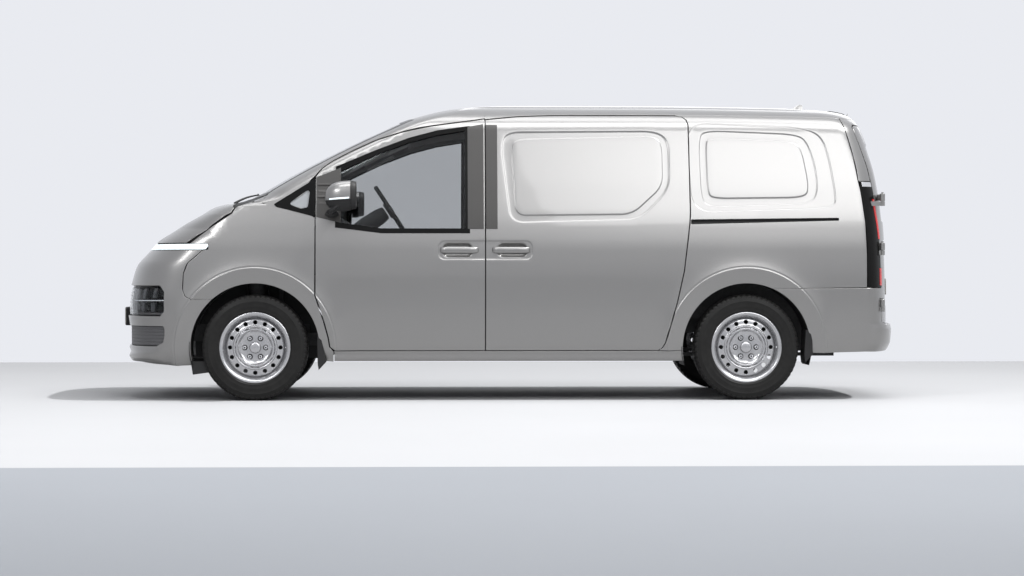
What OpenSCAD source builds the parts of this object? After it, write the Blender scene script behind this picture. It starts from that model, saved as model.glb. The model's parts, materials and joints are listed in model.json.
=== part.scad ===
// Panel van: unitary steel body on four wheels, nose towards -X, driver's side at -Y, road at Z = 0.
// Body panels are slices of one rounded body volume, so neighbours share their edges.

/* [Body] */
// Distance between the front and rear axles
wheelbase = 3273; // [2900:1:4000]
// Nose tip to front axle
front_overhang = 918; // [900:1:1000]
// Rear axle to the rear bumper's face
rear_overhang = 1062; // [1000:1:1300]
// Width over the body sides
body_w = 1997; // [1650:1:2400]
// Height of the roof above the road
roof_z = 2000; // [1800:1:2400]
// Height of the waistline, above which the body scales with the roof
belt_z = 1140; // [1100:1:1200]
// Thickness of a whole wall, panel or door
wall = 60; // [50:1:72]
// Thickness of the bonnet
bonnet_t = 25; // [20:1:32]
// Gap round each moving panel
gap = 7; // [6:1:9]
// Thickness of the windscreen and the other glass
glass_t = 6; // [4:1:8]
// Depth of the rounding from the nose back to the flat side
nose_depth = 420; // [380:1:460]
// Depth of the rounding from the tail forward to the flat side
tail_depth = 260; // [240:1:320]
// Height of the rounding from the roof's crown down to the side
roof_round = 200; // [160:1:220]

/* [Wheels] */
// Outer radius of the tyre
tyre_r = 353; // [330:1:380]
// Width of the tyre
tyre_w = 215; // [185:1:225]
// Radius of the rim's bead seat
rim_r = 214; // [200:1:226]
// Tyre's outer face to the body's side
wheel_inset = 23; // [20:1:50]
// Space between the tyre and the wheel arch
arch_space = 74; // [70:1:90]
// Hub face outboard of the wheel's middle
hub_offset = 50; // [40:1:55]
// Radius of the wheel spindles
spindle_r = 30; // [26:1:34]
// Running clearance of pins and spindles
run = 0.05; // [0.03:0.01:0.1]

/* [Doors] */
// Front axle to the front door's leading edge
door_lead = 403; // [400:1:440]
// Front axle to the front door's trailing edge
cab_len = 1530; // [1480:1:1700]
// Front door hinge axis behind the leading edge
hinge_back = 60; // [55:1:70]
// Front door hinge axis in from the widest side
hinge_in = 54; // [50:1:60]
// Space swept clear by the front doors' leading edges
swing_gap = 8; // [8:1:10]
// Radius of the door hinge pins
pin_r = 8; // [6:1:10]
// Half width of the rear doorway at the waist
doorway_y = 858; // [840:1:870]
// Gap between the two rear doors
rear_gap = 10; // [9:1:14]
// Depth of the step for the seal in each rear door's free edge
seal_step = 16; // [14:1:20]
// Rear door hinge axis ahead of the tail
rear_hinge_fwd = 137; // [130:1:150]
// Rear door hinge axis outside the doorway
rear_hinge_out = 27; // [24:1:32]

/* [Chassis] */
// Top of the load floor above the road
floor_z = 565; // [540:1:600]
// Top of the cab floor above the road
cab_floor_z = 440; // [420:1:460]
// Thickness of the floor sheet with its ribs
floor_t = 25; // [20:1:30]
// Middle of the long rails out from the centre line
rail_y = 490; // [460:1:500]
// Width of the long rails
rail_w = 70; // [60:1:80]
// Steering axis: lean of the top towards the centre line, in degrees
kingpin_lean = 12.8; // [8:0.1:14]
// Steering axis in from the wheel's middle at axle height
kingpin_in = 90; // [85:1:95]
// Radius of the tow bar bolt holes
bolt_r = 6.5; // [5:0.5:8]
// Spacing of the tow bar bolts along the rails
towbar_dx = 180; // [120:1:240]
// Spacing of the seat bolts along the van
seat_dx = 360; // [300:1:380]
// Spacing of the seat bolts across the van
seat_dy = 400; // [360:1:420]

/* [Hidden] */

length = front_overhang + wheelbase + rear_overhang;
nose_x = -length / 2;
tail_x = length / 2;
fx = nose_x + front_overhang;
rx = fx + wheelbase;
half = body_w / 2;
wheel_z = tyre_r - 1;
wheel_y = half - wheel_inset - tyre_w / 2;
arch_r = tyre_r + arch_space;
lead_x = fx + door_lead;
post_x = fx + cab_len;
hinge_x = lead_x + hinge_back;
hinge_y = half - hinge_in;
swing_r = norm([hinge_back, hinge_in]) + swing_gap;
rear_hinge_x = tail_x - rear_hinge_fwd;
rear_hinge_y = doorway_y + rear_hinge_out;
far = 4000;
eps = 0.3;
rail_foot_z = floor_z - floor_t - 100;
towbar_x = tail_x - 345;
column_foot = [fx + 538, -390, 1052];
column_tilt = 57;
column_l = 395;
REAR_HINGES = [620, 1000, 1330];
FRONT_HINGES = [500, 960];

// Height on the real van for a height on the drawing, which has its roof at 2000
drawn_roof = 2000;
function hz(z) = z <= belt_z ? z : belt_z + (z - belt_z) * (roof_z - belt_z) / (drawn_roof - belt_z);
function lift(pts) = [for (p = pts) [p[0], hz(p[1])]];
function from_front(pts) = [for (p = pts) [fx + p[0], hz(p[1])]];
function from_rear(pts) = [for (p = pts) [rx + p[0], hz(p[1])]];

// ---- Body volume: rings in plan at each height, drawn as [height, distance] ----
NOSE = [[200, 136], [250, 40], [300, 14], [470, 14], [600, 0], [690, 6], [790, 30], [900, 66], [960, 118],
    [1000, 156], [1066, 216], [1108, 272], [1178, 383], [1235, 495], [1291, 608], [1318, 726], [1345, 836],
    [1410, 944], [1508, 1112], [1614, 1308], [1754, 1590], [1818, 1730], [1881, 1870], [1926, 2011],
    [1962, 2151], [1982, 2292], [1994, 2432], [2000, 2576]];
TAIL = [[200, 66], [500, 38], [725, 40], [900, 44], [1136, 58], [1302, 76], [1549, 122], [1654, 156],
    [1800, 202], [1880, 234], [1930, 274], [1965, 336], [2000, 476]];
SIDE = [[200, 100], [260, 64], [330, 36], [500, 13], [700, 3], [850, 0], [1000, 4], [1140, 18], [1400, 66],
    [1600, 112], [1800, 162], [1900, 190], [2000, 220]];
LEVELS = [200, 260, 330, 420, 520, 640, 770, 900, 1000, 1066, 1140, 1235, 1291, 1345, 1430, 1520, 1614,
    1700, 1780, 1840, 1890, 1930, 1960, 1980, 1993, 1999.5];
nose_power = 2.5;
tail_power = 2.4;
side_power = 3;
roof_power = 2.5;
squeeze_z = 1000;
corner_steps = 8;
side_steps = 5;
barrel = 0.012;
rear_fall = 38;
fall_start = 2500;

function level_z(z, d) = z > squeeze_z
    ? hz(z) - d * (z - squeeze_z) / (drawn_roof - squeeze_z)
    : z + d * (squeeze_z - z) / (squeeze_z - LEVELS[0]);
function roof_in(z) = pow(1 - pow(max(0, 1 - (drawn_roof - z) / roof_round), roof_power), 1 / side_power);
function bulge(x) = 1 - barrel * pow(abs(x) / (length / 2), 2.5);
function fall(x, z) = rear_fall * pow(max(0, (x - fx - fall_start) / (tail_x - fx - fall_start)), 2)
    * pow(max(0, (z - belt_z) / (roof_z - belt_z)), 2);
function ring_half(z, d) =
    let (xf = nose_x + lookup(z, NOSE) + d,
        xb = tail_x - lookup(z, TAIL) - d,
        w = (half - lookup(z, SIDE) - d) * roof_in(z),
        lf = nose_depth * (z > belt_z ? 0.62 : 1),
        xs = xf + lf,
        xt = xb - tail_depth)
    concat(
        [for (i = [0:corner_steps]) let (a = 90 * i / corner_steps)
            [xs - lf * pow(cos(a), 2 / nose_power), w * pow(sin(a), 2 / side_power)]],
        [for (i = [1:side_steps - 1]) [xs + (xt - xs) * i / side_steps, w]],
        [for (i = [0:corner_steps]) let (a = 90 * (1 - i / corner_steps))
            [xt + tail_depth * pow(cos(a), 2 / tail_power), w * pow(sin(a), 2 / side_power)]]);
function ring(z, d) =
    let (h = ring_half(z, d), n = len(h), zz = level_z(z, d))
    [for (i = [0:2 * n - 3])
        let (k = i < n ? i : 2 * n - 2 - i, s = i < n ? -1 : 1)
        [h[k][0], s * h[k][1] * bulge(h[k][0]), zz - fall(h[k][0], zz)]];

// The whole outside of the body, drawn in by d
module body_volume(d) {
    n = 2 * (2 * corner_steps + side_steps);
    rows = len(LEVELS);
    points = [for (z = LEVELS) each ring(z, d)];
    walls = [for (r = [0:rows - 2], i = [0:n - 1])
        let (a = r * n + i, b = r * n + (i + 1) % n)
        each [[a, a + n, b], [b, a + n, b + n]]];
    fan = [for (i = [1:n / 2 - 1])
        each i < n / 2 - 1 ? [[i, i + 1, n - i], [i + 1, n - i - 1, n - i]] : [[i, i + 1, n - i]]];
    ends = [for (f = concat([[0, 1, n - 1]], fan)) each [f, [for (k = [2:-1:0]) f[k] + (rows - 1) * n]]];
    polyhedron(points, concat(walls, ends));
}

// A slice of the body's skin, kept as one mesh, with children as the region
module panel(depth = wall, outside = 0) {
    resize([0, 0, 0]) intersection() {
        difference() {
            body_volume(outside);
            body_volume(depth);
        }
        children();
    }
}

// Regions: an outline in side view on the left half, in front view, and in plan
module side_region(pts) {
    rotate([90, 0, 0]) linear_extrude(far) polygon(pts);
}
module whole_side_region(pts) {
    translate([0, far / 2, 0]) rotate([90, 0, 0]) linear_extrude(far) polygon(pts);
}
module front_region(pts, x0 = -far, x1 = far) {
    translate([x0, 0, 0]) rotate([90, 0, 90]) linear_extrude(x1 - x0) polygon(pts);
}
module plan_region(pts) {
    linear_extrude(far) polygon(pts);
}
module at_side(s) {
    if (s < 0) children();
    else mirror([0, 1, 0]) children();
}
module both_sides() {
    children();
    mirror([0, 1, 0]) children();
}
module wheel_space(x, r = arch_r, y0 = 560, y1 = 1200) {
    translate([x, -y0, wheel_z]) rotate([90, 0, 0]) cylinder(r = r, h = y1 - y0, $fn = 96);
}
module block(x0, x1, y0, y1, z0, z1) {
    translate([min(x0, x1), min(y0, y1), min(z0, z1)])
        cube([abs(x1 - x0), abs(y1 - y0), abs(z1 - z0)]);
}

// ---- Outlines in side view, from the front or rear axle ----
DOOR_TOP = [[446, 1545], [512, 1592], [634, 1657], [803, 1734], [973, 1787], [1162, 1828], [1461, 1870]];
DOOR_FOOT = [[door_lead + 97, 356], [door_lead + 86, 422], [door_lead + 59, 521], [door_lead + 26, 621],
    [door_lead, 700]];
function front_door_outline() = concat(
    [[post_x - gap / 2, 333], [lead_x + 131, 333]],
    from_front(DOOR_FOOT), from_front([[door_lead, 1490]]), from_front(DOOR_TOP),
    [[post_x - gap / 2, hz(1881)]]);
function doorway_front() = from_front([for (p = DOOR_FOOT) [p[0] - gap, p[1]]]);
SLIDE_BACK = [[-465, 1915], [-415, 1905], [-385, 1880], [-375, 1843], [-372, 1246], [-377, 1175],
    [-390, 1068], [-417, 854], [-461, 658], [-506, 498], [-541, 382], [-560, 350], [-586, 325]];
ROOF_EDGE = [[post_x, hz(1882)], [post_x + 228, hz(1905)], [post_x + 478, hz(1915)]];
HOOD_LINE = [[-447, 1042], [-299, 1144], [-151, 1242], [-132, 1277]];
BUMPER_LINE = [[-423, 672], [-462, 692], [-477, 735], [-472, 843], [-443, 916], [-345, 999]];
LAMP_OPENING = [[-2000, 560], [-628, 560], [-598, 592], [-598, 722], [-628, 765], [-2000, 765]];
INTAKE = [[-2000, 360], [-656, 360], [-608, 385], [-598, 430], [-598, 495], [-2000, 495]];
PILLAR_FOOT = [[83, 1373], [125, 1303], [144, 1286], [door_lead - gap, 1214]];
WINDSCREEN = [[0, 1345], [400, 1350], [815, 1375], [680, 1872], [400, 1888], [0, 1892]];
function mirrored(pts) = concat(pts,
    [for (i = [len(pts) - 1:-1:0]) if (pts[i][0] > 0) [-pts[i][0], pts[i][1]]]);
function scaled_y(pts, k) = [for (p = pts) [p[0] * k, p[1]]];
width_k = body_w / 1997;
lamp_y = 560 * width_k;
bonnet_hinge = [fx - 107, hz(1303)];
side_in = half - wall - 95;
function bonnet_back(y, g) = fx - 292 + g + 153 * pow(abs(y) / (760 * width_k), 2);

module windscreen_region() {
    front_region(lift(scaled_y(mirrored(WINDSCREEN), width_k)), -far, fx + 1150);
}
module ahead_of_cowl(g) {
    plan_region(concat([[-far, 1100], [-far, -1100]],
        [for (i = [-11:11]) [bonnet_back(i * 90, g), i * 90]]));
}
module rear_doorway(g) {
    front_region(lift([[-doorway_y - g, 512 - g], [doorway_y + g, 512 - g], [doorway_y + g, 1250],
        [762 + g, 1800], [735 + g, 1850], [700, 1866 + g], [-700, 1866 + g], [-735 - g, 1850],
        [-762 - g, 1800], [-doorway_y - g, 1250]]), rx + 500);
}
// Clear round each front door's hinge axis as its leading edge swings in: [from, to, radius]
function swing_steps() = [
    [300, 520, hinge_in + swing_gap - 9],
    [519, 620, norm([hinge_back - 26, hinge_in - 4]) + swing_gap - 1],
    [619, 1214, swing_r],
    [1213, hz(1500), hinge_back + swing_gap + 5]];
module door_swing_space() {
    for (p = swing_steps()) translate([hinge_x, -hinge_y, p[0]])
        cylinder(r = p[2], h = p[1] - p[0], $fn = 48);
}

// ---- Floor and frames ----
module floor_pan() {
    house_y = 640 * width_k;
    low_z = cab_floor_z - floor_t - 60;
    end_x = tail_x - 245;
    kick_x = rx - 480;
    color("dimgray") difference() {
        union() {
            block(lead_x + 45, post_x + 20, -side_in, side_in, cab_floor_z - floor_t, cab_floor_z);
            block(post_x + 10, post_x + 40, -side_in, side_in, cab_floor_z - floor_t, floor_z);
            block(post_x + 20, end_x, -side_in, side_in, floor_z - floor_t, floor_z);
            for (s = [-1, 1]) {
                block(lead_x - 60, post_x + 20, s * (rail_y - rail_w / 2), s * (rail_y + rail_w / 2),
                    low_z, cab_floor_z - floor_t);
                block(post_x + 20, kick_x, s * (rail_y - rail_w / 2), s * (rail_y + rail_w / 2),
                    low_z, floor_z - floor_t);
                block(kick_x, end_x, s * (rail_y - rail_w / 2), s * (rail_y + rail_w / 2),
                    rail_foot_z, floor_z - floor_t);
                block(rx - arch_r - 15, rx + arch_r + 15, s * house_y, s * side_in,
                    floor_z - floor_t, wheel_z + arch_r + 22);
            }
        }
        for (s = [-1, 1]) {
            block(rx - arch_r, rx + arch_r, s * (house_y + 15), s * 1200, 300, wheel_z + arch_r + 8);
            for (k = [-1, 1]) translate([towbar_x + k * towbar_dx / 2, s * rail_y, rail_foot_z - 1])
                cylinder(r = bolt_r, h = 80, $fn = 32);
        }
    }
}

module sills() {
    color("silver") both_sides() resize([0, 0, 0]) intersection() {
        difference() {
            body_volume(0);
            body_volume(wall + 70);
            wheel_space(rx);
        }
        side_region([[fx + 520, 262], [fx + 520, 325], [rx, 325], [rx, 262]]);
        translate([-far, -1200, 0]) cube([2 * far, 1200 - (half - wall - 70), 400]);
    }
}

module bay_frame() {
    tower_y = wheel_y - kingpin_in - 498 * tan(kingpin_lean);
    color("dimgray") difference() {
        union() {
            for (s = [-1, 1]) {
                block(nose_x + 175, lead_x - 60, s * (rail_y - rail_w / 2), s * (rail_y + rail_w / 2),
                    385, 500);
                block(fx - 75, fx + 75, s * (tower_y - 105), s * (tower_y + 75),
                    wheel_z + 486, wheel_z + 510);
                block(fx - 75, fx + 75, s * (tower_y - 130), s * (tower_y - 105), 500, wheel_z + 510);
                block(fx - 75, fx + 75, s * (rail_y - 35), s * (tower_y - 105), 470, 500);
            }
            block(fx + 140, fx + 165, -half + 140, half - 140, 330, hz(1230));
            block(nose_x + 120, nose_x + 175, -560, 560, 380, 505);
            block(fx + 165, lead_x + 45, -half + 140, half - 140, cab_floor_z - floor_t, cab_floor_z);
            block(nose_x + 175, nose_x + 200, -560, 560, 505, 880);
        }
        both_sides() wheel_space(fx, arch_r + 13, 570 * width_k);
        both_sides() kingpin(wheel_z + 440, wheel_z + 560, 12 + run);
        both_sides() door_swing_space();
    }
    color("dimgray") both_sides() block(hinge_x - 14, hinge_x + 90, -hinge_y + 72, -hinge_y + 134,
        cab_floor_z, 1130);
}

// A round bar on the left steering axis between two heights
module kingpin(z0, z1, r) {
    translate([fx, -(wheel_y - kingpin_in), wheel_z]) rotate([-kingpin_lean, 0, 0])
        translate([0, 0, (z0 - wheel_z) / cos(kingpin_lean)])
            cylinder(r = r, h = (z1 - z0) / cos(kingpin_lean), $fn = 48);
}

module cab_frame() {
    back = from_front([[door_lead - gap, 1497]]);
    rail = from_front([for (p = DOOR_TOP) [p[0] - 4, p[1] + gap]]);
    outline = concat(from_front(PILLAR_FOOT), back, rail,
        [[post_x, hz(1882 + gap)], [post_x, hz(1925)], [fx + 900, hz(1925)], [fx + 900, hz(2100)],
        [fx + 83, hz(2100)]]);
    color("silver") resize([0, 0, 0]) difference() {
        union() {
            panel() whole_side_region(outline);
            panel(wall + 70, wall + 5) both_sides() {
                block(post_x - 60, post_x + 60, -1200, -side_in - eps, 325, floor_z + 10);
                block(post_x - 60, post_x + 60, -1200, -560, floor_z + eps, hz(1882));
            }
            panel(wall + 70) block(post_x - 60, post_x - 1, -1200, 1200, hz(1882 + gap + 1), hz(1925));
        }
        windscreen_region();
        both_sides() quarter_region(0);
        block(fx + 900, post_x + 61, -half, half, hz(1925), far);
        both_sides() door_swing_space();
    }
}

module quarter_region(g) {
    side_region(from_front([[160 + g, 1308], [382 - g, 1258 + g], [382 - g, 1430 - 1.5 * g]]));
}

module roof_panel() {
    color("silver") panel() whole_side_region(concat(
        [[fx + 900, hz(1925)], [post_x, hz(1925)]], ROOF_EDGE,
        [[tail_x, hz(1915)], [tail_x, 2 * far], [fx + 900, 2 * far]]));
}

module fender(s) {
    color("silver") at_side(s) resize([0, 0, 0]) difference() {
        panel() side_region(concat(
            from_front([[0, 672]]), from_front(BUMPER_LINE), from_front([[-306, 1002], [-306, 1042]]),
            from_front(HOOD_LINE), from_front([[-60, 1310]]), from_front(PILLAR_FOOT),
            [for (i = [len(DOOR_FOOT) - 1:-1:0]) doorway_front()[i]],
            [[fx + 520, 325], [fx + 520, 262], [fx, 262]]));
        wheel_space(fx);
        door_swing_space();
        windscreen_region();
        translate([bonnet_hinge[0], -(740 * width_k), bonnet_hinge[1]]) rotate([-90, 0, 0])
            cylinder(r = 15 + gap, h = 50, $fn = 32);
        bonnet_pin(eps);
    }
}

module side_panel(s) {
    color("silver") at_side(s) resize([0, 0, 0]) difference() {
        union() {
            difference() {
                panel() side_region(concat(
                    from_rear([[0, 735], [0, 325]]),
                    from_rear([for (i = [len(SLIDE_BACK) - 1:-1:0]) SLIDE_BACK[i]]),
                    [[tail_x, hz(1915)]], from_rear([[1300, 748]])));
                lamp_region();
            }
            panel(wall + 40, wall + eps) lamp_region();
        }
        wheel_space(rx);
        rear_doorway(gap);
        rear_pockets();
    }
}

module lamp_region() {
    difference() {
        side_region(from_rear([[770, 1470], [2000, 1470], [2000, 748], [813, 748]]));
        translate([0, -doorway_y - gap, 0]) cube([far, far, far]);
    }
}

// The body's half of the left rear hinges, grown by g
module rear_straps(g = 0) {
    for (z = REAR_HINGES) {
        translate([rear_hinge_x, -rear_hinge_y, z - 32 - g]) cylinder(r = 16 + g, h = 30 + 2 * g, $fn = 48);
        block(rear_hinge_x - 135 - g, rear_hinge_x, -rear_hinge_y - 10 - g, -rear_hinge_y + 12 + g,
            z - 32 - g, z - 2 + g);
    }
}

// Room for both halves of the left rear hinges
module rear_pockets() {
    rear_straps(eps);
    for (z = REAR_HINGES) {
        translate([rear_hinge_x, -rear_hinge_y, z - gap]) cylinder(r = 18 + gap, h = 50 + 2 * gap, $fn = 48);
        block(rear_hinge_x - 13 - gap, rear_hinge_x + 100, -rear_hinge_y - 100, -rear_hinge_y,
            z - gap, z + 50 + gap);
        block(rear_hinge_x - 50, rear_hinge_x + 100, -rear_hinge_y, -rear_hinge_y + 30,
            z - gap, z + 50 + gap);
    }
}

module sliding_door(s) {
    color("lightgray") at_side(s) panel() side_region(concat(
        ROOF_EDGE, from_rear(SLIDE_BACK), [[post_x, 325]]));
}

module front_bumper() {
    color("silver") resize([0, 0, 0]) difference() {
        panel() whole_side_region(concat(
            from_front([[-330, 228], [-330, 672]]), from_front(BUMPER_LINE),
            from_front([[-345, 1002], [-2000, 1002], [-2000, 228]])));
        both_sides() wheel_space(fx);
        whole_side_region(from_front(LAMP_OPENING));
        whole_side_region(from_front(INTAKE));
    }
}

module headlamps() {
    color("whitesmoke") both_sides() panel(wall + 20, 18) intersection() {
        whole_side_region(from_front(LAMP_OPENING));
        block(-far, 0, -1200, -lamp_y, 0, far);
    }
}

module grille() {
    color("black") {
        panel(wall - 15, 22) intersection() {
            whole_side_region(from_front(LAMP_OPENING));
            block(-far, 0, -lamp_y, lamp_y, 0, far);
        }
        panel(wall - 15, 22) whole_side_region(from_front(INTAKE));
    }
}

module light_bar() {
    color("white") panel() whole_side_region(from_front([[-306, 1002], [-306, 1042], [-2000, 1042],
        [-2000, 1002]]));
}

module tail_lamps() {
    color("darkred") both_sides() resize([0, 0, 0]) difference() {
        panel() lamp_region();
        rear_pockets();
        rear_doorway(gap);
    }
}

module rear_bumper() {
    depth = 110;
    edge_y = doorway_y - eps;
    steps = 8;
    function curve(y) = tail_x - 105 * pow(abs(y) / 900, 2.6);
    color("silver") {
        both_sides() resize([0, 0, 0]) difference() {
            panel() side_region(concat(from_rear([[0, 300], [0, 735], [1300, 748]]), [[tail_x + 200, 300]]));
            wheel_space(rx);
            rear_doorway(gap);
            translate([rx + 300, -doorway_y, 0]) cube([far, far, far]);
            rear_pockets();
        }
        translate([0, 0, 335]) linear_extrude(505 - 335 - gap) polygon(concat(
            [for (i = [-steps:steps]) [curve(i * edge_y / steps), i * edge_y / steps]],
            [for (i = [steps:-1:-steps]) [curve(i * edge_y / steps) - depth, i * edge_y / steps]]));
    }
}

module cowl() {
    color("black") resize([0, 0, 0]) difference() {
        panel() whole_side_region(concat(from_front(HOOD_LINE), from_front([[-60, 1310], [83, 1373],
            [83, 1500], [-447, 1500]])));
        ahead_of_cowl(gap + 3);
        windscreen_region();
        both_sides() block(fx - 160, fx - 85, -(735 * width_k), -(695 * width_k), 1000, far);
        both_sides() bonnet_pin(eps);
    }
}

module bonnet_pin(g = 0) {
    translate([bonnet_hinge[0], -(762 * width_k) - g, bonnet_hinge[1]]) rotate([-90, 0, 0])
        cylinder(r = pin_r + g, h = 64 * width_k + 2 * g, $fn = 48);
}

module windscreen() {
    color("lightskyblue") panel(glass_t) windscreen_region();
}

module quarter_windows() {
    color("lightskyblue") both_sides() panel(glass_t + 2, 2) quarter_region(0);
}

// ---- Opening panels ----
module bonnet() {
    arm_y = 728 * width_k;
    color("silver") resize([0, 0, 0]) difference() {
        union() {
            panel(bonnet_t) intersection() {
                whole_side_region(from_front([[-2000, 1042 + gap], [-449, 1042 + gap], [-304, 1151],
                    [-157, 1249], [-140, 1281], [-140, 1500], [-2000, 1500]]));
                ahead_of_cowl(0);
            }
            both_sides() intersection() {
                body_volume(5);
                union() {
                    block(bonnet_hinge[0] - 120, bonnet_hinge[0], -arm_y, 26 - arm_y,
                        bonnet_hinge[1] - 22, bonnet_hinge[1] + 30);
                    translate([bonnet_hinge[0], -arm_y, bonnet_hinge[1]]) rotate([-90, 0, 0])
                        cylinder(r = 15, h = 26, $fn = 32);
                }
            }
        }
        windscreen_region();
        both_sides() bonnet_pin(eps);
    }
}

function glass_outline(g) = concat(
    from_front([[558 - g, 1176 - g], [838, 1138 - g]]), [[post_x - 130 + g, hz(1138 - g)]],
    [[post_x - 130 + g, hz(1806 + g)]], from_front([[1210, 1776 + g], [1023, 1726 + g], [808, 1645 + g],
    [562 - g, 1530 + g]]));

module front_door(s) {
    color("silver") at_side(s) resize([0, 0, 0]) difference() {
        union() {
            panel() side_region(front_door_outline());
            for (z = FRONT_HINGES) intersection() {
                body_volume(4);
                translate([hinge_x, -hinge_y, z + 60]) cylinder(r = 20, h = 60, $fn = 32);
            }
        }
        side_region(glass_outline(0));
        for (z = FRONT_HINGES, dz = [20, 120]) block(hinge_x - 64, hinge_x + 26, -hinge_y - 23,
            -hinge_y + 100, z + dz, z + dz + 40);
        translate([hinge_x, -hinge_y, 400]) cylinder(r = pin_r + eps, h = 800, $fn = 48);
    }
}

module front_glass(s) {
    color("lightskyblue") at_side(s) panel(20 + glass_t, 20) side_region(glass_outline(-eps));
}

module mirror_unit(s) {
    y0 = half - 15;
    color("gray") at_side(s) resize([0, 0, 0]) difference() {
        union() {
            block(hinge_x + 12, hinge_x + 62, -y0 + 60, -y0 - 76, hz(1215), hz(1262));
            hull() for (p = [[500, 75, 1232, 18], [500, 220, 1240, 24], [540, 75, 1400, 22],
                [540, 210, 1405, 28], [640, 65, 1245, 10], [640, 235, 1250, 10], [640, 70, 1410, 10],
                [640, 230, 1410, 10]])
                translate([fx + p[0], -y0 - p[1], hz(p[2])]) sphere(r = p[3], $fn = 16);
        }
        body_volume(-eps);
    }
}

module rear_door(s) {
    color("lightgray") at_side(s) resize([0, 0, 0]) difference() {
        union() {
            panel(seal_step + eps) intersection() {
                rear_doorway(0);
                translate([rx + 550, -1200, 400]) cube([far, 1200 - rear_gap / 2, far]);
            }
            panel(wall, seal_step) intersection() {
                rear_doorway(0);
                translate([rx + 550, -1200, 400]) cube([far, 1200 - rear_gap / 2 - seal_step / 2, far]);
            }
            for (z = REAR_HINGES) {
                translate([rear_hinge_x, -rear_hinge_y, z]) cylinder(r = 17, h = 50, $fn = 32);
                intersection() {
                    block(rear_hinge_x - 70, rear_hinge_x + 12, -rear_hinge_y, -rear_hinge_y + 90, z, z + 50);
                    difference() {
                        body_volume(-50);
                        translate([rear_hinge_x, -rear_hinge_y, 0]) rotate([0, 0, 45])
                            translate([-far, 0, 0]) cube([far, far, far]);
                    }
                }
            }
        }
        for (z = REAR_HINGES) translate([rear_hinge_x, -rear_hinge_y, z - 10])
            cylinder(r = pin_r + eps, h = 70, $fn = 48);
    }
}

module door_hinges() {
    color("gray") both_sides() {
        for (z = FRONT_HINGES) {
            translate([hinge_x, -hinge_y, z + 40]) cylinder(r = pin_r, h = 100, $fn = 48);
            for (dz = [26, 126]) {
                translate([hinge_x, -hinge_y, z + dz]) cylinder(r = 18, h = 28, $fn = 48);
                block(hinge_x - 14, hinge_x + 14, -hinge_y, -hinge_y + 72, z + dz, z + dz + 28);
            }
        }
        rear_straps();
        for (z = REAR_HINGES) translate([rear_hinge_x, -rear_hinge_y, z - 30])
            cylinder(r = pin_r, h = 90, $fn = 48);
        bonnet_pin();
    }
}

// ---- Inside ----
module bulkhead() {
    color("lightgray") resize([0, 0, 0]) intersection() {
        body_volume(wall + 70 + eps);
        block(post_x + 41, post_x + 59, -1200, 1200, floor_z + eps, far);
    }
}

module dashboard() {
    color("dimgray") resize([0, 0, 0]) intersection() {
        body_volume(wall + 85);
        block(-far, far, -(half - 190), half - 190, 0, far);
        union() {
            whole_side_region(from_front([[250, 900], [560, 840], [640, 960], [600, 1090], [420, 1170],
                [180, 1190], [180, 900]]));
            block(fx + 165, fx + 255, -1200, 1200, 790, 910);
        }
    }
    color("dimgray") translate(column_foot) rotate([0, column_tilt, 0])
        cylinder(r = 30, h = column_l, $fn = 32);
}

module steering_wheel() {
    grip = 15;
    ring_r = 178;
    color("black") translate(column_foot) rotate([0, column_tilt, 0]) translate([0, 0, column_l + eps]) {
        cylinder(r = 60, h = 40, $fn = 48);
        rotate_extrude($fn = 64) polygon([for (a = [22.5:45:337.5])
            [ring_r + grip * cos(a), 25 + grip * sin(a)]]);
        translate([-8, -ring_r, 18]) cube([30, 2 * ring_r, 14]);
    }
}

module seat_bases() {
    h = 130;
    color("dimgray") for (y = [-480, 470]) difference() {
        block(post_x - 640, post_x - 200, y - 230, y + 230, cab_floor_z, cab_floor_z + h);
        block(post_x - 660, post_x - 180, y - 190, y + 190, cab_floor_z - 1, cab_floor_z + h - 20);
        for (i = [-1, 1], j = [-1, 1]) translate([post_x - 420 + i * seat_dx / 2, y + j * seat_dy / 2, 0])
            cylinder(r = 5.5, h = 1000, $fn = 32);
    }
}

// ---- Running gear ----
module engine() {
    color("darkgray") block(nose_x + 330, fx + 60, -330, 340, 289 + eps, 930);
}

module front_subframe() {
    low_z = wheel_z - 162;
    ball_y = wheel_y - kingpin_in + 162 * tan(kingpin_lean);
    color("black") difference() {
        union() {
            block(fx + 20, fx + 150, -rail_y - 20, rail_y + 20, 240, 289);
            block(fx - 200, fx + 20, -rail_y - 20, -rail_y + 60, 240, 289);
            block(fx - 200, fx + 20, rail_y - 60, rail_y + 20, 240, 289);
            for (s = [-1, 1]) {
                block(fx - 60, fx + 140, s * (rail_y - 20), s * (rail_y + 20), 288, 385);
                translate([0, 0, low_z - 16]) linear_extrude(32) polygon([[fx - 150, s * (rail_y - 20)],
                    [fx + 150, s * (rail_y - 20)], [fx + 22, s * (ball_y - 4)], [fx - 22, s * (ball_y - 4)]]);
                translate([fx, s * ball_y, low_z - 20]) cylinder(r = 28, h = 40, $fn = 48);
                block(fx - 165, fx + 165, s * (rail_y - 60), s * (rail_y - 10), low_z - 16, 260);
            }
        }
        both_sides() kingpin(100, 300, 14 + run);
    }
}

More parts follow.
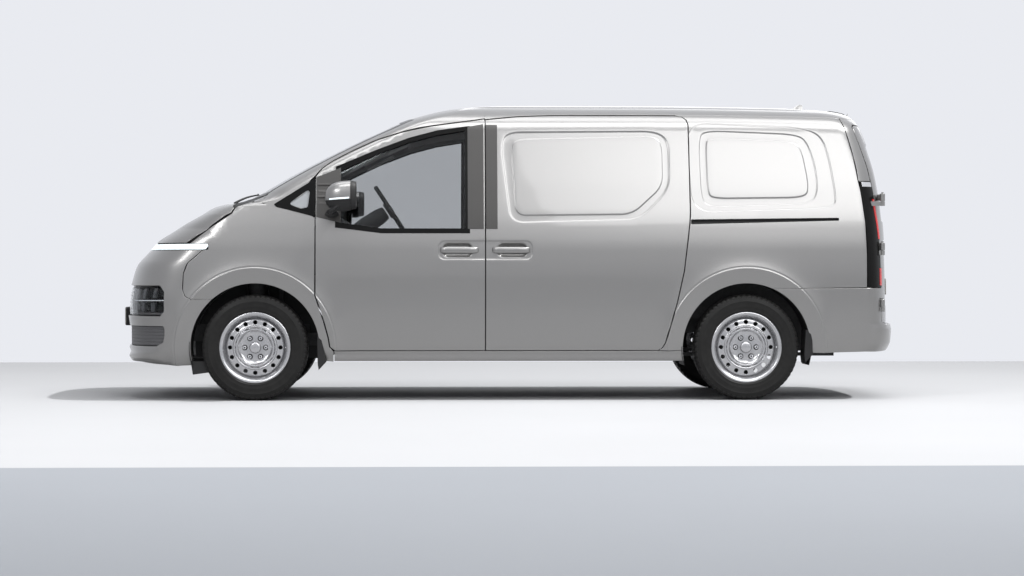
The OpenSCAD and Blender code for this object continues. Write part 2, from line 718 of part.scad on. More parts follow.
module knuckle(s) {
    tower_y = wheel_y - kingpin_in - 498 * tan(kingpin_lean);
    color("dimgray") at_side(s) {
        translate([fx, -(wheel_y + hub_offset - 2), wheel_z]) rotate([-90, 0, 0])
            cylinder(r = spindle_r, h = hub_offset + 80, $fn = 64);
        block(fx - 45, fx + 45, -(wheel_y - 62), -(wheel_y - 125), wheel_z - 135, wheel_z + 90);
        kingpin(wheel_z - 186, wheel_z - 120, 14);
        block(fx - 40, fx + 40, -(wheel_y - 125), -(wheel_y - 182), wheel_z + 28, wheel_z + 90);
        hull() {
            translate([fx, -(wheel_y - 155), wheel_z + 30]) cylinder(r = 26, h = 2, $fn = 32);
            translate([fx, -tower_y, wheel_z + 462]) cylinder(r = 26, h = 2, $fn = 32);
        }
        translate([fx, -tower_y - 8, wheel_z + 300]) cylinder(r = 66, h = 166, $fn = 48);
        kingpin(wheel_z + 462, wheel_z + 525, 12);
    }
}

module rear_axle() {
    color("dimgray") for (s = [-1, 1]) {
        translate([rx, 0, wheel_z]) rotate([-90 * s, 0, 0]) cylinder(r = 42, h = wheel_y - 80, $fn = 48);
        translate([rx, 0, wheel_z]) rotate([-90 * s, 0, 0])
            cylinder(r = spindle_r, h = wheel_y + hub_offset, $fn = 64);
    }
}

module leaf_springs() {
    y = 570;
    seat_z = wheel_z - 42;
    color("black") for (s = [-1, 1]) {
        block(rx - 660, rx + 640, s * (y - 35), s * (y + 35), seat_z - 26, seat_z - 4);
        block(rx - 60, rx + 60, s * (y - 45), s * (y + 45), seat_z - 4, seat_z);
        block(rx - 660, rx - 620, s * (rail_y + rail_w / 2), s * (y + 35), seat_z - 4, rail_foot_z - 30);
        block(rx + 600, rx + 640, s * (y - 35), s * (y + 35), seat_z - 4, rail_foot_z - 8);
        block(rx + 600, rx + 640, s * (rail_y - rail_w / 2), s * (y + 35), rail_foot_z - 8, rail_foot_z);
    }
}

module exhaust() {
    y = 180;
    z = 330;
    color("darkgray") {
        translate([fx + 250, y, z]) rotate([0, 90, 0]) cylinder(r = 32, h = 900, $fn = 32);
        translate([fx + 1100, y, z]) rotate([0, 90, 0]) cylinder(r = 70, h = 620, $fn = 48);
        translate([fx + 1700, y, z]) rotate([0, 90, 0]) cylinder(r = 28, h = 750, $fn = 32);
        block(fx + 600, fx + 620, y - 10, y + 10, z + 20, cab_floor_z - floor_t);
        block(fx + 2300, fx + 2320, y - 10, y + 10, z + 20, floor_z - floor_t);
    }
}

module fuel_tank() {
    color("black") block(post_x + 120, post_x + 1020, -rail_y + rail_w / 2 + 5, 40, 270, floor_z - floor_t);
}

module spare_wheel() {
    color("black") {
        translate([tail_x - 620, 0, 310]) cylinder(r = 335, h = 195, $fn = 96);
        translate([tail_x - 620, 0, 500]) cylinder(r = 20, h = floor_z - floor_t - 500, $fn = 32);
    }
}

module wheel_liners() {
    t = 8;
    color("black") both_sides() resize([0, 0, 0]) intersection() {
        difference() {
            wheel_space(fx, arch_r + 4 + t, 585 * width_k, half - 30);
            wheel_space(fx, arch_r + 4, 500, 1200);
            block(fx - 80, fx + 80, -(wheel_y - 85), 0, 500, 1000);
        }
        body_volume(wall + 1);
        block(fx - 600, fx + 600, -1200, 0, wheel_z, 1200);
    }
}

module mud_flaps() {
    y0 = wheel_y - 95;
    y1 = wheel_y + 95;
    y_wall = half - wall - 106;
    color("black") both_sides() {
        block(fx + arch_r + 13, fx + arch_r + 21, -y0, -y1, 200, 261.9);
        block(fx + arch_r + 13, fx + arch_r + 21, -y0, -y_wall, 261.9, 400);
        block(rx + arch_r + 6, rx + arch_r + 14, -y0, -y1, 235, 299);
        block(rx + arch_r + 6, rx + arch_r + 14, -y0, -y_wall, 299, floor_z - floor_t - eps);
    }
}

module wipers() {
    color("black") resize([0, 0, 0]) difference() {
        for (y = [-560, 60]) {
            hull() {
                translate([fx - 172, y, hz(1341)]) sphere(r = 9, $fn = 12);
                translate([fx - 150, y + 540, hz(1358)]) sphere(r = 6, $fn = 12);
            }
            translate([fx - 172, y, hz(1290)]) cylinder(r = 12, h = 52, $fn = 24);
        }
        body_volume(-eps);
    }
}

module rim(x, s) {
    lip = 20;
    w = tyre_w / 2 - 8;
    bore = spindle_r + run;
    back = hub_offset - 24;
    color("silver") translate([x, s * wheel_y, wheel_z]) rotate([-90 * s, 0, 0]) {
        rotate_extrude($fn = 96) polygon([[rim_r, 8 - w], [rim_r + lip, 8 - w], [rim_r + lip, -w],
            [rim_r - 12, -w], [rim_r - 12, back], [82, back], [70, 0], [bore, 0], [bore, hub_offset + 6],
            [0, hub_offset + 6],
            [0, hub_offset + 30], [38, hub_offset + 30], [40, hub_offset - 6], [rim_r - 24, hub_offset - 6],
            [rim_r - 12, hub_offset], [rim_r - 12, w], [rim_r + lip, w], [rim_r + lip, w - 8],
            [rim_r, w - 8]]);
    }
}

module tyre(x, s) {
    w = tyre_w / 2;
    seat = rim_r + 0.2;
    bead = 16 + eps;
    color("black") translate([x, s * wheel_y, wheel_z]) rotate([-90 * s, 0, 0]) rotate_extrude($fn = 128)
        polygon([[seat, bead - w], [rim_r + 21, bead - w], [rim_r + 40, 4 - w], [tyre_r - 60, -w],
            [tyre_r - 22, 6 - w],
            [tyre_r - 3, -w + 26], [tyre_r, -w + 50], [tyre_r, w - 50], [tyre_r - 3, w - 26],
            [tyre_r - 22, w - 6], [tyre_r - 60, w], [rim_r + 40, w - 4], [rim_r + 21, w - bead],
            [seat, w - bead]]);
}

floor_pan();
sills();
bay_frame();
cab_frame();
roof_panel();
fender(-1);  // fender_left
fender(1);  // fender_right
side_panel(-1);  // side_panel_left
side_panel(1);  // side_panel_right
sliding_door(-1);  // sliding_door_left
sliding_door(1);  // sliding_door_right
front_bumper();
rear_bumper();
cowl();
windscreen();
quarter_windows();
light_bar();
headlamps();
grille();
tail_lamps();
bulkhead();
dashboard();
seat_bases();
engine();
front_subframe();
rear_axle();
leaf_springs();
exhaust();
fuel_tank();
spare_wheel();
wheel_liners();
mud_flaps();
wipers();
door_hinges();
bonnet();
front_door(-1);  // front_door_left
front_door(1);  // front_door_right
front_glass(-1);  // front_glass_left
front_glass(1);  // front_glass_right
mirror_unit(-1);  // mirror_left
mirror_unit(1);  // mirror_right
rear_door(-1);  // rear_door_left
rear_door(1);  // rear_door_right
steering_wheel();
knuckle(-1);  // knuckle_left
knuckle(1);  // knuckle_right
rim(fx, -1);  // rim_front_left
rim(fx, 1);  // rim_front_right
rim(rx, -1);  // rim_rear_left
rim(rx, 1);  // rim_rear_right
tyre(fx, -1);  // tyre_front_left
tyre(fx, 1);  // tyre_front_right
tyre(rx, -1);  // tyre_rear_left
tyre(rx, 1);  // tyre_rear_right
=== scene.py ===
"""Panel van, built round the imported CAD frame. Lengths are in millimetres until a mesh is made."""

import json
import math

import bpy
import numpy as np
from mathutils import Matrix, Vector, geometry


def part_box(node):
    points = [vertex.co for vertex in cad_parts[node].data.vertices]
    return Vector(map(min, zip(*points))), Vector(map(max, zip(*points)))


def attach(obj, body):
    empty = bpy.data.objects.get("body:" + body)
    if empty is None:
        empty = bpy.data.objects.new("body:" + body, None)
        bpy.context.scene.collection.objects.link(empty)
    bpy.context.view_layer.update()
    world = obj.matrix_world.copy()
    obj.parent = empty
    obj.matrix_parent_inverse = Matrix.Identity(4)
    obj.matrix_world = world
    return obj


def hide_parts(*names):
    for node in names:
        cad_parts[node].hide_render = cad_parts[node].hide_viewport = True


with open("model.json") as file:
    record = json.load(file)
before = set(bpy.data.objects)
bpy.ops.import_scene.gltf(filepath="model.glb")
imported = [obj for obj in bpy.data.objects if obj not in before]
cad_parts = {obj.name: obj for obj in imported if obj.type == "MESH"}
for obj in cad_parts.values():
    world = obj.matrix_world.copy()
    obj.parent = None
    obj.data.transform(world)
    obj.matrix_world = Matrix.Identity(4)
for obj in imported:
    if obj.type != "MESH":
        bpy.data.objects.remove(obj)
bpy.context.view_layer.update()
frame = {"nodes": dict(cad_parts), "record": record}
MM = 1000.0


def node_box(name):
    """Lowest and highest corner of a CAD node, in millimetres."""
    low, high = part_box(name)
    return [v * MM for v in low], [v * MM for v in high]


# ---- driving sizes, from the frame
NOSE_X = node_box("front_bumper")[0][0]
TAIL_X = node_box("rear_bumper")[1][0]
WHEEL_LOW, WHEEL_HIGH = node_box("tyre_front_left")
REAR_LOW, REAR_HIGH = node_box("tyre_rear_left")
FRONT_X = (WHEEL_LOW[0] + WHEEL_HIGH[0]) / 2
REAR_X = (REAR_LOW[0] + REAR_HIGH[0]) / 2
WHEEL_Z = (WHEEL_LOW[2] + WHEEL_HIGH[2]) / 2
WHEEL_Y = -(WHEEL_LOW[1] + WHEEL_HIGH[1]) / 2
TYRE_R = (WHEEL_HIGH[0] - WHEEL_LOW[0]) / 2
TYRE_W = WHEEL_HIGH[1] - WHEEL_LOW[1]
WHEEL_INSET = 23
HALF = WHEEL_Y + TYRE_W / 2 + WHEEL_INSET
HALF_LENGTH = (TAIL_X - NOSE_X) / 2
ROOF_Z = 2000
BELT_Z = 1140
WALL = 60
GAP = 7
ARCH_R = TYRE_R + 74
LEAD_X = FRONT_X + 403
POST_X = FRONT_X + 1530
DOOR_LOW = 333
SKIRT_LOW, SKIRT_TOP = 262, 325
RIGHT_ANGLE = math.pi / 2
SIDES = ("left", "right")
ARC = 1000  # millimetres that one radian of corner stands for in an end map

# ---- the body's surface
# Rows of [height, distance]: back from the nose, forward from the tail, in from the widest side
NOSE = [[200, 136], [250, 40], [300, 14], [470, 14], [600, 0], [690, 6], [790, 30], [900, 66], [960, 118],
        [1000, 156], [1066, 216], [1108, 272], [1178, 383], [1235, 495], [1291, 608], [1318, 726],
        [1345, 836], [1410, 944], [1508, 1112], [1614, 1308], [1754, 1590], [1818, 1730], [1881, 1870],
        [1926, 2011], [1962, 2151], [1982, 2292], [1994, 2432], [2000, 2576]]
TAIL = [[200, 66], [500, 38], [725, 40], [900, 44], [1136, 54], [1302, 68], [1549, 106], [1654, 134],
        [1800, 180], [1880, 212], [1930, 242], [1965, 288], [2000, 440]]
SIDE = [[200, 100], [260, 64], [330, 36], [500, 13], [700, 3], [850, 0], [1000, 4], [1140, 18], [1400, 66],
        [1600, 112], [1800, 162], [1900, 190], [2000, 220]]
NOSE_POWER, TAIL_POWER, SIDE_POWER, ROOF_POWER = 2.5, 2.4, 3, 2.5
NOSE_DEPTH, TAIL_DEPTH, ROOF_ROUND, BARREL = 420, 260, 200, 0.012
REAR_FALL, FALL_START = 38, 2500
NARROW_Z, NARROW = 1235, 0.62  # the nose's corners take less depth at and above this height
INSIDE_X, INSIDE_Z = 1700, 900  # a line along the middle of the van, which outward normals point away from
PROBE = 0.6  # the step that normals are measured over
BISECTIONS = 34


def smooth_table(rows):
    """A monotone cubic through the rows, as a function of height."""
    x, y = np.array(rows, float).T
    h, d = np.diff(x), np.diff(y) / np.diff(x)
    m = np.zeros(len(x))
    for i in range(1, len(x) - 1):
        if d[i - 1] * d[i] > 0:
            w1, w2 = 2 * h[i] + h[i - 1], h[i] + 2 * h[i - 1]
            m[i] = (w1 + w2) / (w1 / d[i - 1] + w2 / d[i])
    m[0], m[-1] = d[0], d[-1]

    def value(z):
        z = np.clip(np.asarray(z, float), x[0], x[-1])
        i = np.clip(np.searchsorted(x, z, side="right") - 1, 0, len(h) - 1)
        t = (z - x[i]) / h[i]
        return ((1 + 2 * t) * (1 - t) ** 2 * y[i] + t * (1 - t) ** 2 * h[i] * m[i]
                + t * t * (3 - 2 * t) * y[i + 1] + t * t * (t - 1) * h[i] * m[i + 1])

    return value


nose_in, tail_in, side_in = smooth_table(NOSE), smooth_table(TAIL), smooth_table(SIDE)


def nose_depth(z):
    return NOSE_DEPTH * np.interp(z, [BELT_Z, NARROW_Z], [1, NARROW])


def crown(z):
    return (1 - np.clip(1 - (ROOF_Z - z) / ROOF_ROUND, 0, 1) ** ROOF_POWER) ** (1 / SIDE_POWER)


def bulge(x):
    return 1 - BARREL * (np.abs(x) / HALF_LENGTH) ** 2.5


def fall(x, z):
    back = np.clip((x - FRONT_X - FALL_START) / (TAIL_X - FRONT_X - FALL_START), 0, 1.2)
    return REAR_FALL * back ** 2 * np.clip((z - BELT_Z) / (ROOF_Z - BELT_Z), 0, 1) ** 2


def half_width(x, z):
    lf = nose_depth(z)
    u = np.clip((NOSE_X + nose_in(z) + lf - x) / lf, 0, 1)
    v = np.clip((x - TAIL_X + tail_in(z) + TAIL_DEPTH) / TAIL_DEPTH, 0, 1)
    corner = np.minimum((1 - u ** NOSE_POWER), (1 - v ** TAIL_POWER)) ** (1 / SIDE_POWER)
    return (HALF - side_in(z)) * crown(z) * corner * bulge(x)


def side_map(s, t):
    """Left side: s along the van, t up."""
    return np.stack([s, -half_width(s, t), t - fall(s, t)], -1)


def top_map(s, t):
    """Seen from above: s along the van, t across it."""
    low, high = np.full_like(s, BELT_Z), np.full_like(s, ROOF_Z)
    for _ in range(BISECTIONS):
        mid = (low + high) / 2
        wide = half_width(s, mid) >= np.abs(t)
        low, high = np.where(wide, mid, low), np.where(wide, high, mid)
    return np.stack([s, t, low - fall(s, low)], -1)


def top_at(x, y):
    """Height of the body's surface at a place seen from above."""
    return float(top_map(np.array([float(x)]), np.array([float(y)]))[0, 2])


def profile_length(rows, start):
    """Arc length along an end's middle profile against height, both ways."""
    value = smooth_table(rows)
    z = np.linspace(200, ROOF_Z - 0.5, 1200)
    d = np.hypot(np.diff(z), np.diff(value(z)))
    t = np.concatenate([[0], np.cumsum(d)])
    t = t - np.interp(start, z, t) + start
    return (lambda h: np.interp(h, z, t)), (lambda a: np.interp(a, t, z))


nose_t, nose_z = profile_length(NOSE, 700)
tail_t, tail_z = profile_length(TAIL, 700)


def end_map(s, t, tail):
    """Round an end: s across it from the middle, t up its profile. Left is negative."""
    z = (tail_z if tail else nose_z)(t)
    q = np.abs(s) / ARC
    turn = np.minimum(q, RIGHT_ANGLE)
    reach = (1 - np.sin(turn) ** SIDE_POWER) ** (1 / (TAIL_POWER if tail else NOSE_POWER))
    beyond = np.maximum(q - RIGHT_ANGLE, 0) * ARC
    if tail:
        x = TAIL_X - tail_in(z) - TAIL_DEPTH * (1 - reach) - beyond
    else:
        x = NOSE_X + nose_in(z) + nose_depth(z) * (1 - reach) + beyond
    y = (HALF - side_in(z)) * crown(z) * np.sin(turn) * bulge(x)
    return np.stack([x, np.sign(s) * y, z - fall(x, z)], -1)


def nose_map(s, t):
    return end_map(s, t, False)


def tail_map(s, t):
    return end_map(s, t, True)


def end_t(z, tail=False):
    """How far up an end map a height comes."""
    return float((tail_t if tail else nose_t)(z))


def end_yz(y, z, tail=False):
    """End map place of a point given by its y and height."""
    t = end_t(z, tail)
    x = TAIL_X - 100 if tail else NOSE_X + float(nose_in(z))
    for _ in range(3):
        p = min(1.0, abs(y) / float((HALF - side_in(z)) * crown(z) * bulge(x)))
        x = float(end_map(np.array([math.asin(p) * ARC]), np.array([t]), tail)[0, 0])
    return math.copysign(math.asin(p) * ARC, y), t


def end_xz(x, z, tail=False):
    """End map place, on the left, of a point given by its x and height."""
    if tail:
        depth, power = TAIL_DEPTH, TAIL_POWER
        u = (x - (TAIL_X - float(tail_in(z)) - TAIL_DEPTH)) / depth
    else:
        depth, power = float(nose_depth(z)), NOSE_POWER
        u = (NOSE_X + float(nose_in(z)) + depth - x) / depth
    if u <= 0:
        return -(RIGHT_ANGLE * ARC - u * depth), end_t(z, tail)
    return -math.asin((1 - min(u, 1) ** power) ** (1 / SIDE_POWER)) * ARC, end_t(z, tail)


def on_nose(points):
    """End map places of [x from the front axle, height]."""
    return [end_xz(FRONT_X + x, z) for x, z in points]


def on_tail(points):
    """End map places of [x from the rear axle, height]."""
    return [end_xz(REAR_X + x, z, True) for x, z in points]


def on_rear(points):
    """End map places of [y, height] on the rear."""
    return [end_yz(y, z, True) for y, z in points]


def mirrored(points):
    return [(-s, t) for s, t in reversed(points)]


def both(points):
    """An end outline given down its left side and closed across its mirror image."""
    return points + mirrored(points)


# ---- outlines
def front(points):
    return [(FRONT_X + x, z) for x, z in points]


def rear(points):
    return [(REAR_X + x, z) for x, z in points]


def circle(x, z, r, count=96):
    turn = 2 * math.pi
    return [(x + r * math.cos(turn * i / count), z + r * math.sin(turn * i / count)) for i in range(count)]


def wheel_opening(x):
    return circle(x, WHEEL_Z, ARCH_R, 120)


def end_openings(x, tail=False):
    """Both wheel openings on an end map."""
    arch = [end_xz(px, max(z, 201), tail) for px, z in wheel_opening(x)]
    return [arch, mirrored(arch)]


def turns(count):
    """Angles round a full circle."""
    return np.linspace(0, 2 * math.pi, count + 1)[:-1]


def rounded(points, r, steps=5):
    """The same outline with each corner turned into an arc of about radius r."""
    out = []
    n = len(points)
    for i in range(n):
        p, a, b = (np.array(points[k % n], float) for k in (i, i - 1, i + 1))
        u, v = a - p, b - p
        lu, lv = np.linalg.norm(u), np.linalg.norm(v)
        u, v = u / lu, v / lv
        half = math.acos(max(-1, min(1, float(u @ v)))) / 2
        if half > 1.5:
            out.append(tuple(p))
            continue
        cut = min(r / math.tan(half), 0.45 * lu, 0.45 * lv)
        radius = cut * math.tan(half)
        middle = p + (u + v) / np.linalg.norm(u + v) * math.hypot(cut, radius)
        start, end = p + u * cut - middle, p + v * cut - middle
        a0 = math.atan2(start[1], start[0])
        turn = (math.atan2(end[1], end[0]) - a0 + math.pi) % (2 * math.pi) - math.pi
        angles = [a0 + turn * k / steps for k in range(steps + 1)]
        out += [tuple(middle + radius * np.array([math.cos(a), math.sin(a)])) for a in angles]
    return out


def eased(loop, reach=90):
    """A loop whose corners are cut and cut again, at most reach along each edge, until they are smooth."""
    for k in range(3):
        out = []
        for a, b in zip(loop, loop[1:] + loop[:1]):
            cut = min(0.25, reach / 2 ** k / math.dist(a, b))
            out += [(a[0] + (b[0] - a[0]) * c, a[1] + (b[1] - a[1]) * c) for c in (cut, 1 - cut)]
        loop = out
    return loop


def inside(points, loop):
    x, y = points[:, 0], points[:, 1]
    result = np.zeros(len(points), bool)
    for (x0, y0), (x1, y1) in zip(loop, list(loop[1:]) + [loop[0]]):
        if y0 != y1:
            result ^= ((y0 > y) != (y1 > y)) & (x < (x1 - x0) * (y - y0) / (y1 - y0) + x0)
    return result


def distance(points, loop):
    best = np.full(len(points), 1e9)
    for a, b in zip(loop, list(loop[1:]) + [loop[0]]):
        a, b = np.array(a), np.array(b)
        along = b - a
        k = np.clip(((points - a) @ along) / max(along @ along, 1e-9), 0, 1)
        best = np.minimum(best, np.hypot(*(points - a - k[:, None] * along).T))
    return best


def resample(loop, step):
    out = []
    for a, b in zip(loop, list(loop[1:]) + [loop[0]]):
        n = max(1, math.ceil(math.dist(a, b) / step))
        out += [(a[0] + (b[0] - a[0]) * k / n, a[1] + (b[1] - a[1]) * k / n) for k in range(n)]
    return out


def shifted(loop, d):
    """A loop moved d to its left, which is inwards for an outer loop."""
    p = np.array(loop)
    along = np.roll(p, -1, 0) - p
    along /= np.maximum(np.linalg.norm(along, axis=1), 1e-9)[:, None]
    normal = np.stack([-along[:, 1], along[:, 0]], -1)
    both = normal + np.roll(normal, 1, 0)
    both /= np.maximum((both * both).sum(1), 0.5)[:, None] / 2
    return [tuple(v) for v in p + both * d]


def triangulate(loops, keep, extra=(), free=()):
    points, edges = [], []
    for loop in list(loops) + list(extra):
        first = len(points)
        points += [Vector(p) for p in loop]
        edges += [(first + i, first + (i + 1) % len(loop)) for i in range(len(loop))]
    points += [Vector(p) for p in free]
    out = geometry.delaunay_2d_cdt(points, edges, [], 0, 1e-5, True)
    verts = np.array([tuple(v) for v in out[0]])
    faces = np.array([f for f in out[2] if len(f) == 3])
    faces = faces[keep(verts[faces].mean(1))]
    a, b, c = (verts[faces[:, k]] for k in range(3))
    flip = ((b - a)[:, 0] * (c - a)[:, 1] - (b - a)[:, 1] * (c - a)[:, 0]) < 0
    faces[flip] = faces[flip][:, ::-1]
    return verts, faces


def clip(outer, holes):
    """Clean loops of an outline less its holes, which may cross its edge. The inside is on the left."""

    def keep(p):
        ok = inside(p, outer)
        for hole in holes:
            ok &= ~inside(p, hole)
        return ok

    verts, faces = triangulate([outer] + list(holes), keep)
    edges = {(int(f[k]), int(f[(k + 1) % 3])) for f in faces for k in range(3)}
    after = {a: b for a, b in edges if (b, a) not in edges}
    loops = []
    while after:
        start = a = next(iter(after))
        loop = []
        while a in after:
            loop.append(tuple(verts[a]))
            a = after.pop(a)
        if a == start and len(loop) > 2:
            loops.append(loop)
    return loops


def press(loop, depth, width):
    """A pressing: inside the loop the sheet stands out by depth, over an edge of that width."""
    return {"loop": loop, "depth": depth, "width": width}


def pressed(presses):
    def height(s, t):
        points = np.stack([s, t], -1)
        total = np.zeros(len(s))
        for p in presses:
            d = distance(points, p["loop"])
            k = np.clip(np.where(inside(points, p["loop"]), d, 0) / p["width"], 0, 1)
            total += p["depth"] * k * k * (3 - 2 * k)
        return total

    return height


def turned_left(loop):
    area = sum(a[0] * b[1] - b[0] * a[1] for a, b in zip(loop, loop[1:] + loop[:1]))
    return loop if area > 0 else loop[::-1]


def press_lines(presses, step=18):
    """Mesh lines along the edges of pressings."""
    return [resample(shifted(turned_left(p["loop"]), p["width"] * k), step) for p in presses for k in (0, 0.5, 1)]


# ---- panels
def link(ob):
    bpy.context.scene.collection.objects.link(ob)
    return ob


class Sheet:
    """Faces with their own normals, which become one mesh."""

    def __init__(self):
        self.verts, self.faces, self.normals = [], [], []
        self.count = 0

    def add(self, verts, faces, normals):
        """normals has one row for each vertex."""
        self.verts.append(verts)
        self.faces += [tuple(int(i) + self.count for i in f) for f in faces]
        self.normals += [tuple(normals[i]) for f in faces for i in f]
        self.count += len(verts)

    def merge(self, part):
        self.verts += part.verts
        self.faces += [tuple(i + self.count for i in f) for f in part.faces]
        self.normals += part.normals
        self.count += part.count

    def object(self, name, mirror=False, shift=0):
        verts = (np.concatenate(self.verts) + [shift, 0, 0]) / MM
        faces, normals = self.faces, self.normals
        if mirror:
            verts = verts * [1, -1, 1]
            flat, k = [], 0
            for f in faces:
                flat += [(n[0], -n[1], n[2]) for n in reversed(normals[k:k + len(f)])]
                k += len(f)
            faces, normals = [f[::-1] for f in faces], flat
        mesh = bpy.data.meshes.new(name)
        mesh.from_pydata(verts.tolist(), [], faces)
        mesh.polygons.foreach_set("use_smooth", [True] * len(mesh.polygons))
        mesh.normals_split_custom_set(normals)
        mesh.update()
        return link(bpy.data.objects.new(name, mesh))


def unit(v):
    return v / np.maximum(np.linalg.norm(v, axis=-1, keepdims=True), 1e-12)


def surface(shape, height, s, t, lift=0.0):
    """Points and normals of a map with a height added along its normals."""
    h = PROBE
    s, t = np.asarray(s, float), np.asarray(t, float)

    def raised(a, b):
        p = shape(a, b)
        n = unit(np.cross(shape(a + h, b) - shape(a - h, b), shape(a, b + h) - shape(a, b - h)))
        out = p - [[0, 0, INSIDE_Z]]
        out[:, 0] = out[:, 0] - np.clip(out[:, 0], -INSIDE_X, INSIDE_X)
        n = n * np.where((n * out).sum(1) < 0, -1, 1)[:, None]
        return p + n * (height(a, b) + lift)[:, None], n

    p, n = raised(s, t)
    if height is flat:
        return p, n
    m = unit(np.cross(raised(s + h, t)[0] - raised(s - h, t)[0], raised(s, t + h)[0] - raised(s, t - h)[0]))
    return p, m * np.where((m * n).sum(1) < 0, -1, 1)[:, None]


def flat(s, t):
    return np.zeros(len(s))


def grid_points(loops, step, clear):
    corners = np.array([p for loop in loops for p in loop])
    low, high = corners.min(0), corners.max(0)
    xs = np.arange(low[0] + step / 2, high[0], step)
    ys = np.arange(low[1] + step / 2, high[1], step)
    points = np.stack(np.meshgrid(xs, ys), -1).reshape(-1, 2)
    points[:, 0] += np.where(np.round((points[:, 1] - low[1]) / step) % 2 > 0, step / 4, -step / 4)
    ok = np.zeros(len(points), bool)
    for loop in loops:
        ok ^= inside(points, loop)
    points = points[ok]
    for loop in loops:
        points = points[distance(points, loop) > clear]
    return points


def in_loops(loops):
    def keep(p):
        ok = np.zeros(len(p), bool)
        for loop in loops:
            ok ^= inside(p, loop)
        return ok

    return keep


def panel_sheet(shape, outer, holes=(), depth=WALL, step=45, edge=2.5, presses=(), height=None, lift=0.0,
                lines=(), soft=None):
    """A closed panel: outer skin with rounded edges, side walls and a plain inner skin."""
    total = height or (pressed(presses) if presses else flat)
    loops = [resample(loop, step / 2) for loop in clip(turned_left(outer), holes)]
    sheet = Sheet()
    top = [shifted(loop, edge) for loop in loops]
    extra = list(lines)
    for p in presses:
        ring = turned_left(p["loop"])
        extra += [resample(shifted(ring, p["width"] * k), 18) for k in (0, 0.3, 0.7, 1)]
    free = grid_points(top, step, step / 4)
    for ring in extra:
        free = free[distance(free, ring) > step / 5]
    keep = in_loops(top)
    verts, faces = triangulate(top, keep, extra, free)
    used, faces = np.unique(faces, return_inverse=True)
    verts, faces = verts[used], faces.reshape(-1, 3)
    p, n = surface(shape, total, verts[:, 0], verts[:, 1], lift)
    a, b, c = (p[faces[:, k]] for k in range(3))
    outward = -1 if (np.cross(b - a, c - a) * n[faces[:, 0]]).sum() < 0 else 1
    sheet.add(p, faces[:, ::outward], n)
    free = grid_points(loops, step * 1.6, step / 3)
    verts, faces = triangulate(loops, in_loops(loops), (), free)
    p, n = surface(shape, flat, verts[:, 0], verts[:, 1], lift - depth)
    sheet.add(p, faces[:, ::-outward], -n)
    for loop, upper in zip(loops, top):
        s, t = np.array(loop).T
        p0, n0 = surface(shape, total, *np.array(upper).T, lift)
        p1, n1 = surface(shape, total, s, t, lift)
        keep_soft = np.zeros(len(s), bool) if soft is None else soft(s, t)
        p1 = p1 - n1 * np.where(keep_soft, 0, edge * 0.7)[:, None]
        p2, _ = surface(shape, flat, s, t, lift - depth)
        out = unit(np.cross(np.roll(p1, -1, 0) - np.roll(p1, 1, 0), n1)) * outward
        mix = unit(n1 + out)
        mix[keep_soft] = n1[keep_soft]
        count = len(s)
        quads = [(i, (i + 1) % count, (i + 1) % count + count, i + count)[::-outward] for i in range(count)]
        sheet.add(np.concatenate([p0, p1]), quads, np.concatenate([n0, mix]))
        sheet.add(np.concatenate([p1, p2]), quads, np.concatenate([out, out]))
    return sheet


# ---- materials
SLOTS = {}
MIX_COLORS = 6  # the first colour socket of a mix node
NOISE_RANGE = 0.3, 0.7


def material(name, color, rough, slot=None, metal=0.0, coat=0.0, bump=None, spread=0.0, scale=30.0,
             rough_spread=0.0, **extra):
    """A Principled material whose colour, roughness and bump vary with object-space noise."""
    mat = bpy.data.materials.new(name)
    mat.use_nodes = True
    tree = mat.node_tree
    shader = tree.nodes["Principled BSDF"]
    shader.inputs["Metallic"].default_value = metal
    shader.inputs["Coat Weight"].default_value = coat
    shader.inputs["Coat Roughness"].default_value = 0.04
    for key, value in extra.items():
        shader.inputs[key.replace("_", " ")].default_value = value
    place = tree.nodes.new("ShaderNodeTexCoord").outputs["Object"]

    def noise(size, detail=3.0):
        node = tree.nodes.new("ShaderNodeTexNoise")
        node.inputs["Scale"].default_value = size
        node.inputs["Detail"].default_value = detail
        tree.links.new(place, node.inputs["Vector"])
        return node.outputs["Fac"]

    def ramp(value, low, high):
        node = tree.nodes.new("ShaderNodeMapRange")
        node.inputs["From Min"].default_value, node.inputs["From Max"].default_value = NOISE_RANGE
        node.inputs["To Min"].default_value = low
        node.inputs["To Max"].default_value = high
        tree.links.new(value, node.inputs["Value"])
        return node.outputs["Result"]

    grain = noise(scale)
    mix = tree.nodes.new("ShaderNodeMix")
    mix.data_type = "RGBA"
    tree.links.new(ramp(grain, 0, 1), mix.inputs["Factor"])
    for socket, k in ((MIX_COLORS, 1 - spread), (MIX_COLORS + 1, 1 + spread)):
        mix.inputs[socket].default_value = [min(1, c * k) for c in color] + [1]
    tree.links.new(mix.outputs[2], shader.inputs["Base Color"])
    tree.links.new(ramp(noise(scale / 4), rough - rough_spread, rough + rough_spread), shader.inputs["Roughness"])
    if bump:
        size, strength, depth = bump
        node = tree.nodes.new("ShaderNodeBump")
        node.inputs["Strength"].default_value = strength
        node.inputs["Distance"].default_value = depth / MM
        tree.links.new(noise(size, 2.0), node.inputs["Height"])
        tree.links.new(node.outputs["Normal"], shader.inputs["Normal"])
    if slot:
        SLOTS[mat] = slot
    return mat


